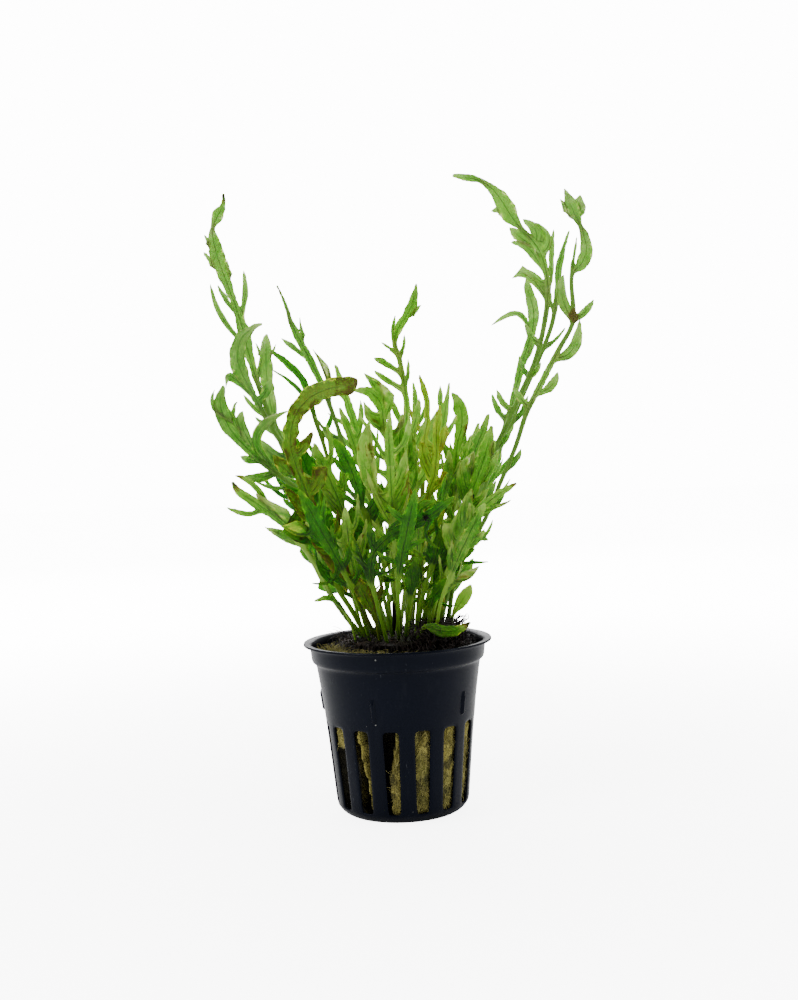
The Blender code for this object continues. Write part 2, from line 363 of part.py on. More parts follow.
        route=[(-0.6, 54, 1.2), (-0.7, 58, 1.1), (-0.9, 60.4, 0.6)]),
}

# Base colours and roughness of the materials
MATERIALS = {
    "black_plastic": ((0.012, 0.014, 0.022, 1), 0.38),
    "mineral_wool": ((0.33, 0.28, 0.10, 1), 0.95),
    "root_felt": ((0.035, 0.022, 0.012, 1), 0.9),
    "rootstock": ((0.05, 0.028, 0.014, 1), 0.8),
    "leaf_light": ((0.22, 0.40, 0.07, 1), 0.5),
    "leaf_dark": ((0.05, 0.20, 0.02, 1), 0.5),
    "leaf_old": ((0.26, 0.24, 0.03, 1), 0.6),
    "leaf_dead": ((0.02, 0.014, 0.01, 1), 0.8),
}
OLD_LEAVES = {"frond_old_curled", "frond_short_olive", "sheath_old_yellow", "frond_olive_strap",
              "frond_yellow_right"}
DARK_LEAVES = {"frond_dark_left", "frond_middle_left", "frond_back_left", "frond_arching_front",
               "frond_heart_leaf", "frond_three_corner", "frond_over_rim", "frond_dark_stalk_tall",
               "frond_dark_stalk_low", "frond_front_left", "frond_inner_left", "frond_low_back",
               "frond_low_front", "frond_low_back_left"}
DEAD_LEAVES = {"stalk_dead_black"}


def clear_scene():
    for old in list(bpy.data.objects):
        bpy.data.objects.remove(old)


def material(name):
    """A Principled material with this name's colour and roughness, made once."""
    found = bpy.data.materials.get(name)
    if found:
        return found
    colour, roughness = MATERIALS[name]
    made = bpy.data.materials.new(name)
    made.use_nodes = True
    shader = made.node_tree.nodes["Principled BSDF"]
    shader.inputs["Base Color"].default_value = colour
    shader.inputs["Roughness"].default_value = roughness
    made.diffuse_color = colour
    return made


def add_object(name, bm, finish):
    """Turns a bmesh drawn in millimetres into a named object in metres."""
    bmesh.ops.recalc_face_normals(bm, faces=bm.faces)
    lowest = min(bm.faces, key=lambda face: face.calc_center_median().z)
    if lowest.normal.z > 0:
        bmesh.ops.reverse_faces(bm, faces=bm.faces)
    bmesh.ops.scale(bm, vec=(MM, MM, MM), verts=bm.verts)
    mesh = bpy.data.meshes.new(name)
    bm.to_mesh(mesh)
    bm.free()
    made = bpy.data.objects.new(name, mesh)
    bpy.context.scene.collection.objects.link(made)
    mesh.materials.append(material(finish))
    return made


def shade(made, angle=40):
    made.data.shade_smooth()
    made.data.set_sharp_from_angle(angle=math.radians(angle))


def around(radius, azimuth, z):
    """A point at this distance from the pot's axis; azimuth 0 is the front, +90 is +X."""
    turn = math.radians(azimuth)
    return Vector((radius * math.sin(turn), -radius * math.cos(turn), z))


def face_radius(z):
    """Radius of the pot's outer face at a height."""
    for (r0, z0), (r1, z1) in zip(POT_FACE, POT_FACE[1:]):
        if z <= z1:
            return r0 + (r1 - r0) * (z - z0) / (z1 - z0) if z1 > z0 else r1
    return POT_FACE[-1][0]


def smooth_step(a, b, x):
    t = min(1.0, max(0.0, (x - a) / (b - a)))
    return t * t * (3 - 2 * t)


def make_pot():
    """The pot's outer face spun round, its slots taken out, then given its wall."""
    bm = bmesh.new()
    first = SLOT_FIRST - 90 / SLOTS - 90
    profile = [bm.verts.new(Vector((r * math.cos(math.radians(first)), r * math.sin(math.radians(first)), z)))
               for r, z in POT_FACE]
    line = [bm.edges.new(pair) for pair in zip(profile, profile[1:])]
    bmesh.ops.spin(bm, geom=profile + line, axis=(0, 0, 1), cent=(0, 0, 0), steps=2 * SLOTS,
                   angle=2 * math.pi, use_merge=True)
    bmesh.ops.remove_doubles(bm, verts=bm.verts, dist=0.01)
    close_underside(bm)
    step = 360 / SLOTS
    slot_faces = []
    for face in bm.faces:
        heights = [v.co.z for v in face.verts]
        centre = face.calc_center_median()
        azimuth = math.degrees(math.atan2(centre.x, -centre.y))
        off = (azimuth - SLOT_FIRST + step / 2) % step - step / 2
        if min(heights) > SLOT_LOW - 0.1 and max(heights) < SLOT_HIGH + 0.1 and abs(off) < step / 4:
            slot_faces.append(face)
    bmesh.ops.delete(bm, geom=slot_faces, context="FACES")
    for v in bm.verts:
        if SLOT_LOW - 0.1 < v.co.z < SLOT_HIGH - 0.1:
            azimuth = math.degrees(math.atan2(v.co.x, -v.co.y))
            off = (azimuth - SLOT_FIRST + step / 2) % step - step / 2
            share = (SLOT_HIGH - v.co.z) / (SLOT_HIGH - SLOT_LOW)
            moved = azimuth - math.copysign(SLOT_NARROWING * share, off)
            v.co = around(math.hypot(v.co.x, v.co.y), moved, v.co.z)
    pot = add_object("net_pot", bm, "black_plastic")
    wall = pot.modifiers.new("wall", "SOLIDIFY")
    wall.thickness = POT_WALL * MM
    wall.offset = -1
    wall.use_even_offset = True
    ribs = make_ribs()
    join = pot.modifiers.new("ribs", "BOOLEAN")
    join.operation = "UNION"
    join.object = ribs
    shade(pot)


def close_underside(bm):
    """Fills the flat underside round a three-cornered face in its middle."""
    ring = sorted((v for v in bm.verts if v.co.z < 0.01), key=lambda v: math.atan2(v.co.x, -v.co.y))
    third = len(ring) // 3
    inner = [bm.verts.new(around(UNDERSIDE_MIDDLE, 120 * j, 0)) for j in range(3)]
    bm.faces.new(inner)
    first = min(range(len(ring)), key=lambda i: (ring[i].co - around(POT_FACE[0][0], -60, 0)).length)
    ring = ring[first:] + ring[:first]
    for k, v in enumerate(ring):
        bm.faces.new((v, ring[(k + 1) % len(ring)], inner[k // third]))
    for j in range(3):
        bm.faces.new((ring[(j + 1) * third % len(ring)], inner[j], inner[(j + 1) % 3]))


def make_ribs():
    """Five small upright ribs that the pot's wall takes in by a union."""
    bm = bmesh.new()
    for k in range(RIBS):
        azimuth = RIB_FIRST + k * 360 / RIBS
        made = bmesh.ops.create_cube(bm, size=1)["verts"]
        bmesh.ops.scale(bm, vec=RIB_SIZE, verts=made)
        lean = Matrix.Rotation(math.radians(RIB_LEAN), 3, "X")
        bmesh.ops.rotate(bm, cent=(0, 0, 0), matrix=lean, verts=made)
        bmesh.ops.translate(bm, vec=(0, -RIB_CENTRE[0], RIB_CENTRE[1]), verts=made)
        turn = Matrix.Rotation(math.radians(azimuth), 3, "Z")
        bmesh.ops.rotate(bm, cent=(0, 0, 0), matrix=turn, verts=made)
    ribs = add_object("rib_guide", bm, "black_plastic")
    ribs.hide_render = True
    ribs.display_type = "WIRE"
    return ribs


def skin_rows(bm, rows, low, high):
    """Closes a stack of rings of points with a middle point below and one above."""
    rings = [[bm.verts.new(p) for p in row] for row in rows]
    for lower, upper in zip(rings, rings[1:]):
        for k in range(len(lower)):
            n = (k + 1) % len(lower)
            bm.faces.new((lower[k], lower[n], upper[n], upper[k]))
    for ring, middle in ((rings[0], low), (rings[-1], high)):
        centre = bm.verts.new(middle)
        for k in range(len(ring)):
            bm.faces.new((ring[k], ring[(k + 1) % len(ring)], centre))


def tuft(azimuth):
    """How much the wool stands up at this side of the pot, 0 to 1."""
    off = abs((azimuth - TUFT_AZIMUTH + 180) % 360 - 180)
    return 1 - smooth_step(TUFT_HALF * TUFT_FULL, TUFT_HALF, off)


def make_wool():
    """The wool plug: the pot's inside less a small gap, lumpy, with a raised tuft at the front left."""
    bm = bmesh.new()
    foot = POT_WALL + GAP
    rows = [[around(WOOL_FOOT, k * 360 / WOOL_SIDES, foot) for k in range(WOOL_SIDES)]]
    for z in WOOL_ROWS:
        ring = []
        for k in range(WOOL_SIDES):
            lump = 0.5 * math.sin(2.3 * k + z * 0.31) * math.sin(1.1 * k - z * 0.47) + 0.5
            inner = face_radius(z) - POT_WALL - GAP - WOOL_PLAY - WOOL_LUMP * lump
            ring.append(around(inner, k * 360 / WOOL_SIDES, z))
        rows.append(ring)
    for radius in WOOL_TOP_RINGS:
        ring = []
        for k in range(WOOL_SIDES):
            azimuth = k * 360 / WOOL_SIDES
            rise = TUFT_RISE * tuft(azimuth) * smooth_step(WOOL_TOP_RINGS[2], WOOL_TOP_RINGS[1], radius)
            lump = WOOL_TOP_LUMP * (math.sin(3.7 * k + radius) - 1)
            ring.append(around(radius, azimuth, WOOL_TOP + rise + lump))
        rows.append(ring)
    skin_rows(bm, rows, (0, 0, foot), (0, 0, WOOL_TOP - 0.2))
    shade(add_object("rock_wool", bm, "mineral_wool"), 60)


def make_mat():
    """The felt of roots on the wool, cut back where the wool stands up."""
    bm = bmesh.new()
    outline = []
    for k in range(MAT_SIDES):
        azimuth = k * 360 / MAT_SIDES
        off = abs((azimuth - TUFT_AZIMUTH + 180) % 360 - 180)
        cut = 1 - smooth_step(*MAT_CUT_EDGE, off)
        outline.append((azimuth, MAT_RADIUS - MAT_CUT * cut + MAT_WAVE * math.sin(5 * k)))
    rows = []
    for share, z in MAT_ROWS:
        lift = MAT_LUMP if z > MAT_TOP - 1 else 0.0
        rows.append([around(r * share, a, z + lift * math.sin(1.9 * a + 7 * share) - lift)
                     for a, r in outline])
    skin_rows(bm, rows, (0, 0, MAT_BOTTOM), (0, 0, MAT_TOP - 0.3))
    shade(add_object("root_mat", bm, "root_felt"), 60)


def crown_height(x, y):
    """Height of the rootstock's top at a place, or of its rim outside it."""
    inside = 1 - ((x - CROWN[0]) / CROWN_HALF[0]) ** 2 - ((y - CROWN[1]) / CROWN_HALF[1]) ** 2
    return CROWN[2] + CROWN_HALF[2] * math.sqrt(max(0.0, inside))


def make_crown():
    """The creeping rootstock: one flattened lumpy body under the stalks' feet."""
    bm = bmesh.new()
    made = bmesh.ops.create_uvsphere(bm, u_segments=CROWN_SIDES, v_segments=CROWN_ROWS, radius=1)["verts"]
    for v in made:
        wave = math.sin(4 * v.co.x + 2 * v.co.y) * math.sin(3 * v.co.y - 1.5 * v.co.x)
        bump = 1 - CROWN_LUMP * abs(wave)
        v.co = Vector([CROWN[i] + CROWN_HALF[i] * v.co[i] * bump for i in range(3)])
    shade(add_object("rhizome", bm, "rootstock"), 60)


def in_space(x, z, y):
    """The point at depth y that the front view shows at (x, z)."""
    k = (VIEW_FAR + y) / VIEW_FAR
    return Vector((VIEW_X + (x - VIEW_X) * k, y, VIEW_Z + (z - VIEW_Z) * k))


class Route:
    """A frond's midrib: a smooth curve through its points, with width, depth and turn along it."""

    FINE = 10

    def __init__(self, name, spec):
        self.sway = random.Random(name).uniform(-SWAY, SWAY) * min(1.0, (spec["route"][-1][1] - 50) / 60)
        foot_x, foot_y = spec["foot"]
        foot_z = crown_height(foot_x, foot_y) + 2 * GAP
        k = (VIEW_FAR + foot_y) / VIEW_FAR
        start = (VIEW_X + (foot_x - VIEW_X) / k, VIEW_Z + (foot_z - VIEW_Z) / k, spec["route"][0][2])
        self.knots = [start] + list(spec["route"])
        self.line = []
        ends = [self.knots[0]] + self.knots + [self.knots[-1]]
        for a, b, c, d in zip(ends, ends[1:], ends[2:], ends[3:]):
            for i in range(self.FINE):
                self.line.append(catmull(a, b, c, d, i / self.FINE))
        self.line.append(self.knots[-1])
        self.at = [0.0]
        for p, q in zip(self.line, self.line[1:]):
            self.at.append(self.at[-1] + math.hypot(q[0] - p[0], q[1] - p[1]))
        self.length = self.at[-1]
        self.knot_at = [self.at[i * self.FINE] for i in range(len(self.knots))]
        self.depth = (foot_y,) + spec["depth"]
        self.turn = spec["turn"]

    def flat(self, d):
        """(x, z, width) in the front view at distance d along the route."""
        d = min(max(d, 0.0), self.length)
        i = 0
        while i < len(self.at) - 2 and self.at[i + 1] < d:
            i += 1
        span = self.at[i + 1] - self.at[i] or 1.0
        t = (d - self.at[i]) / span
        return [a + (b - a) * t for a, b in zip(self.line[i], self.line[i + 1])]

    def deep(self, d):
        u = d / self.length
        a, b, c = self.depth
        return a * (1 - u) ** 2 + 2 * b * u * (1 - u) + c * u * u + self.sway * math.sin(2 * math.pi * u)

    def lean(self, d):
        """The blade's turn about its midrib, in radians, at distance d."""
        share = d / self.length
        return math.radians(self.turn[0] + (self.turn[1] - self.turn[0]) * share)

    def half_width(self, d):
        """Half the blade's true width: the front view shows it narrower where it is turned."""
        return max(NARROWEST, self.flat(d)[2] / 2 / max(MOST_TURNED, math.cos(self.lean(d))))

    def point(self, d):
        x, z, _ = self.flat(d)
        return in_space(x, z, self.deep(d))

    def along(self, d):
        return (self.point(min(d + 0.6, self.length)) - self.point(max(d - 0.6, 0.0))).normalized()

    def across(self, d):
        """The blade's left-hand direction, turned about the midrib."""
        run = self.along(d)
        left = run.cross(Vector((0, 1, 0))).normalized()
        angle = self.lean(d)
        return left * math.cos(angle) + run.cross(left) * math.sin(angle)

    def nearest(self, x, z):
        away = [math.hypot(p[0] - x, p[1] - z) for p in self.line]
        return self.at[away.index(min(away))]

    def lobe_point(self, d, x, z):
        """The point in the blade's plane, near the midrib's point d, that the front view shows at (x, z)."""
        x0, z0, _ = self.flat(d)
        run = self.along(d)
        left = run.cross(Vector((0, 1, 0))).normalized()
        offset = Vector((x - x0, 0, z - z0))
        flat_run = Vector((run.x, 0, run.z))
        forward = offset.dot(flat_run) / max(flat_run.length, 0.3) ** 2
        y = self.deep(d) + forward * run.y - offset.dot(left) * math.tan(self.lean(d))
        return in_space(x, z, y)


def catmull(a, b, c, d, t):
    return tuple(0.5 * (2 * q + (r - p) * t + (2 * p - 5 * q + 4 * r - s) * t * t
                        + (3 * q - p - 3 * r + s) * t ** 3) for p, q, r, s in zip(a, b, c, d))


def lobes_of(name, spec, route):
    """Every lobe as (distance along, side, middle point, tip, width); side is +1 on the left."""
    rows = []
    for row in spec.get("lobes", ()):
        start, tip, width = row[:2], row[-3:-1], row[-1]
        d = route.nearest(*start)
        x, z, _ = route.flat(d)
        middle = row[2:4] if len(row) == 7 else None
        rows.append((d, (x, z), middle, tip, width))
    if "fill" in spec:
        start, stop, count, length, width = spec["fill"]
        dice = random.Random(name)
        for k in range(count):
            drift = dice.uniform(-FILL_DRIFT, FILL_DRIFT)
            share = start + (stop - start) * (k + drift) / max(count - 1, 1)
            d = share * route.length
            x, z, _ = route.flat(d)
            x1, z1, _ = route.flat(d + 1)
            spread = math.radians(dice.uniform(*FILL_SPREAD))
            heading = math.atan2(z1 - z, x1 - x) + (spread if k % 2 else -spread)
            reach = length * dice.uniform(*FILL_REACH)
            tip = (x + reach * math.cos(heading), z + reach * math.sin(heading))
            rows.append((d, (x, z), None, tip, width))
    done = []
    for d, (x, z), middle, tip, width in sorted(rows, key=lambda row: row[0]):
        x1, z1, _ = route.flat(d + 1)
        x0, z0, _ = route.flat(d - 1)
        side = 1 if (x1 - x0) * (tip[1] - z) - (z1 - z0) * (tip[0] - x) > 0 else -1
        if middle is None:
            bow = FILL_BOW * side
            middle = ((x + tip[0]) / 2 - bow * (tip[1] - z), (z + tip[1]) / 2 + bow * (tip[0] - x))
        done.append((d, side, middle, tip, width))
    return done


def grow(bm, edge_ends, places):
    """Extrudes the edge between two points and moves the new edge's ends to their places."""
    edge = bm.edges.get(edge_ends)
    grown = bmesh.ops.extrude_edge_only(bm, edges=[edge])["geom"]
    made = [g for g in grown if isinstance(g, bmesh.types.BMVert)]
    ends = []
    for old, place in zip(edge_ends, places):
        new = next(v for v in made if any(e.other_vert(v) is old for e in v.link_edges))
        new.co = place
        ends.append(new)
    return tuple(ends)


def stations_of(route, lobes):
    """Distances of the blade's rings, and for each lobe the two rings that it springs between."""
    spans = []
    for d, side, _, _, width in lobes:
        half = min(LOBE_BASE[1], max(LOBE_BASE[0], 0.3 * width + 0.4))
        low, high = d - half, d + half
        taken = crowding(spans, low, high)
        while taken and all(side in s[2] for s in taken):
            low = max(s[1] for s in taken) + LOBE_APART + 0.1
            high = low + 2 * half
            taken = crowding(spans, low, high)
        if taken:
            shared = next(s for s in taken if side not in s[2])
            shared[2].append(side)
            spans.append(shared)
        else:
            spans.append([low, high, [side]])
    rings = {round(v, 4) for s in spans for v in s[:2]}
    fixed = rings | {route.knot_at[0], route.knot_at[-1]}
    for knot in route.knot_at:
        if knot in fixed or not any(s[0] - 1.8 < knot < s[1] + 1.8 for s in spans):
            rings.add(knot)
    return thin_out(route, sorted(rings), fixed), [(round(s[0], 4), round(s[1], 4)) for s in spans]


def crowding(spans, low, high):
    """The lobe bases that come too close to a stretch of the midrib."""
    return [s for s in spans if s[0] < high + LOBE_APART and s[1] > low - LOBE_APART]


def thin_out(route, rings, fixed):
    """Drops the rings that a straight run between their neighbours would pass through anyway."""
    kept = [rings[0]]
    for here, after in zip(rings[1:], rings[2:]):
        before = kept[-1]
        share = (here - before) / (after - before)
        chord = route.point(before).lerp(route.point(after), share)
        width = route.flat(before)[2] + (route.flat(after)[2] - route.flat(before)[2]) * share
        off = (chord - route.point(here)).length + abs(width - route.flat(here)[2]) / 2
        if here in fixed or off > STRAIGHT:
            kept.append(here)
    return kept + [rings[-1]]


def finish_of(name):
    """The material of a frond: old, dark, dead or plain light green."""
    if name in OLD_LEAVES:
        return "leaf_old"
    if name in DARK_LEAVES:
        return "leaf_dark"
    return "leaf_dead" if name in DEAD_LEAVES else "leaf_light"


def make_frond(name, spec):
    """A ribbon extruded up the route with its lobes extruded from its sides, then thickened."""
    route = Route(name, spec)
    lobes = lobes_of(name, spec, route)
    rings, spans = stations_of(route, lobes)
    bm = bmesh.new()
    ends = {}
    for d in rings:
        left = route.across(d) * route.half_width(d)
        places = (route.point(d) + left, route.point(d) - left)
        if not ends:
            pair = tuple(bm.verts.new(p) for p in places)
            bm.edges.new(pair)
        else:
            pair = grow(bm, pair, places)
        ends[d] = pair
    for (d, side, middle, tip, width), (low, high) in zip(lobes, spans):
        pick = 0 if side > 0 else 1
        near, far = ends[low][pick], ends[high][pick]
        centre = route.lobe_point(d, *middle)
        point = route.lobe_point(d, *tip)
        root = (near.co + far.co) / 2
        run = (point - root).normalized()
        wide = run.cross(route.along(d).cross(route.across(d))).normalized() * width / 2
        if wide.dot(near.co - far.co) < 0:
            wide = -wide
        pair = grow(bm, (near, far), (centre + wide, centre - wide))
        bm.faces.new((pair[0], pair[1], bm.verts.new(point)))
    first_leafy = next((d for d in rings if route.flat(d)[2] > STALK_WIDTH), route.length)
    bm.verts.index_update()
    stalk = sorted(v.index for d in rings if d < first_leafy for v in ends[d])
    frond = add_object(name, bm, finish_of(name))
    group = frond.vertex_groups.new(name="stalk")
    group.add(stalk, 1.0, "REPLACE")
    thick = frond.modifiers.new("thickness", "SOLIDIFY")
    thick.thickness = STALK_THICK * MM
    thick.offset = 0
    thick.vertex_group = "stalk"
    thick.thickness_vertex_group = BLADE_THICK / STALK_THICK


clear_scene()
make_pot()
make_wool()
make_mat()
make_crown()
for frond_name, frond_spec in FRONDS.items():
    make_frond(frond_name, frond_spec)
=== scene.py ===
"""The looks of the water fern in its net pot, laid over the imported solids."""
import math
import random

import bmesh
import bpy
import numpy as np
from mathutils import Matrix, Vector, noise


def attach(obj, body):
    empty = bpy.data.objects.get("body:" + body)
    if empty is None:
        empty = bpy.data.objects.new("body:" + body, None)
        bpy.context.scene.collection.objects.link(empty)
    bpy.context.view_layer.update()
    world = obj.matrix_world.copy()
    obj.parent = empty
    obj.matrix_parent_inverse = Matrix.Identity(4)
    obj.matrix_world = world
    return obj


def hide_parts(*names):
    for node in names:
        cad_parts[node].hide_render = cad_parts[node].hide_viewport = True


MM = 0.001

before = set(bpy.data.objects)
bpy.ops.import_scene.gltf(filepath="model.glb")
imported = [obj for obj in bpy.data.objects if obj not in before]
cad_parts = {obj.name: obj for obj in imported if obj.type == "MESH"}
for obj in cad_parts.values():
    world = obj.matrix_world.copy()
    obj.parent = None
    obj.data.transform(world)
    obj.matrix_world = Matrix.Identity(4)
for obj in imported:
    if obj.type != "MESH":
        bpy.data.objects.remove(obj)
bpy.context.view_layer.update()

# Lengths are in millimetres, but for the studio's, which are in metres. Angles are in degrees.
# An azimuth is an angle about the pot's axis: 0 is the front, +90 is +X.

# Net pot: (radius, height) up its outer face from the middle of the underside
POT_FACE = [
    (15.0, 0.0), (17.8, 0.9), (19.3, 3.0), (21.65, 26.7),
    (22.5, 34.0), (23.9, 43.4), (25.2, 44.3), (25.6, 48.75), (27.5, 48.85),
]
POT_ROWS = [  # (radius, height) of the outer face, closer together where it turns
    (15.0, 0.0), (16.9, 0.25), (18.2, 1.3), (18.95, 2.35), (19.3, 3.0), (19.42, 4.2), (20.0, 10.0),
    (20.6, 16.5), (21.2, 22.5), (21.52, 25.4), (21.65, 26.7), (21.8, 28.0), (22.1, 31.0), (22.5, 34.0),
    (23.2, 38.8), (23.78, 42.7), (24.0, 43.55), (24.75, 43.95), (25.12, 44.5), (25.3, 46.0), (25.48, 48.1),
    (25.7, 48.72), (26.3, 48.85), (27.1, 48.86), (27.45, 48.95),
]
POT_FLOOR = [(13.6, 0.0), (13.0, 0.35), (8.0, 0.35), (2.5, 0.35)]  # the underside, from its edge inwards
POT_WALL = 0.75
SLOTS = 15
SLOT_PITCH = 360 / SLOTS
SLOT_COLUMNS = 8              # columns of faces to one slot and the bar beside it
SLOT_FIRST = -7.4             # azimuth of one slot's middle
SLOT_LOW, SLOT_HIGH = 3.0, 26.7
SLOT_INNERMOST = 18.5         # the slots' faces lie further out than this
SLOT_NARROWING = 0.9          # how far a slot's side comes in at its foot
CORNER_TURN = 0.4             # how far a slot's corners are drawn in, so that its ends come out round
CORNER_FALL, CORNER_RISE = 0.25, 0.3

RIBS = 5
RIB_FIRST = -19.4
RIB_SIZE = (1.0, 1.1, 7.0)
RIB_CREST, RIB_SPREAD = 0.42, 1.9  # how much narrower a rib is at its crest, and wider at the wall
RIB_TOP_SLOPE, RIB_FOOT_SLOPE, RIB_ROOT = 1.9, 0.5, 0.4
RIB_SUNK, RIB_ROUNDING = 0.12, 0.14
RIB_LEAN = 7.5
RIB_PLACE = (0, -22.62, 33.0)

# Mineral wool: its rings and the raised tuft at the left of its top
WOOL_SIDES = 180
WOOL_FOOT = (14.2, 1.15)      # radius and height of the lowest ring
WOOL_FIRST, WOOL_STEP, WOOL_RINGS = 2.6, 0.9, 45
WOOL_TOP = 44.6
WOOL_TOP_RADII = (23.0, 22.0, 20.8, 19.4, 17.8, 16.2, 14.0, 11.0, 7.0, 3.0)
WOOL_HOLLOW = 5.0             # how far the wool stands back from the slots where it is torn
WOOL_PROUD = 0.45             # how far it bulges into the other slots
TUFT_AZIMUTH, TUFT_HALF, TUFT_RISE = -45.0, 62.0, 3.2
TUFT_SLOPE = (15.8, 18.6)     # the tuft rises between these radii
SLOT_THREADS, TOP_THREADS = 2600, 1500

# Root felt and peat on the wool
MAT_SIDES = 120
MAT_FOOT = (14.0, 44.9)
MAT_TOP = 46.3
MAT_RADIUS = 23.6
MAT_CUT = 9.0                 # how far the felt stands back from the wall at the tuft
MAT_SHARES = (0.94, 1.0, 0.97, 0.9, 0.82, 0.74, 0.66, 0.58, 0.5, 0.42, 0.33, 0.24, 0.14, 0.06)
BARE_RADIUS = 13.5            # further out than this, the wool of the tuft is bare
FELT_ROOTS, TUFT_ROOTS, CROWN_ROOTS, CRUMBS = 1100, 900, 700, 700

CROWN = (1.5, 0.0, 49.3)      # middle of the rootstock
CROWN_HALF = (17.0, 12.0, 2.5)

# The fronds' routes are read in a front view from this place
VIEW_X, VIEW_FAR, VIEW_Z = 2.0, 350.0, 101.0
SWAY = 1.6                    # how far a frond swings out of its curve of depth
FOOT_RISE = 0.64              # how high a frond's foot is over the rootstock
STALK_WIDTH = 1.35            # a frond is stalk up to this width, and blade beyond it
RING_STEP, STALK_STEP = 1.25, 3.2  # distance between the cage's rings
BLADE_THICK, STALK_THICK = 0.2, 1.1
FOLD = 0.16                   # how deep the midrib lies in the blade, as a share of its half width
RIPPLE = 0.62                 # how far a margin waves out of the blade
RAGGED = 0.2                  # how much the width of a blade wanders, as a share of it
OLD_RUFFLE = 1.8              # old leaves are this many times more rippled and ragged
TEETH = 0.17                  # height of the small teeth of a margin
LOBE_RAGGED = 0.34            # how much the width of a lobe wanders, as a share of it
LOBE_DRIFT = 0.35             # how far a lobe wanders out of its curve
LOBE_TWIST = 42               # a lobe turns at most this far about its own midrib
# Each lobe's rings: how far along it they are, and how wide they are, as shares
LOBE_RINGS = ((0.14, 0.78), (0.32, 0.93), (0.52, 1.0), (0.72, 0.88), (0.89, 0.52), (1.0, 0.08))

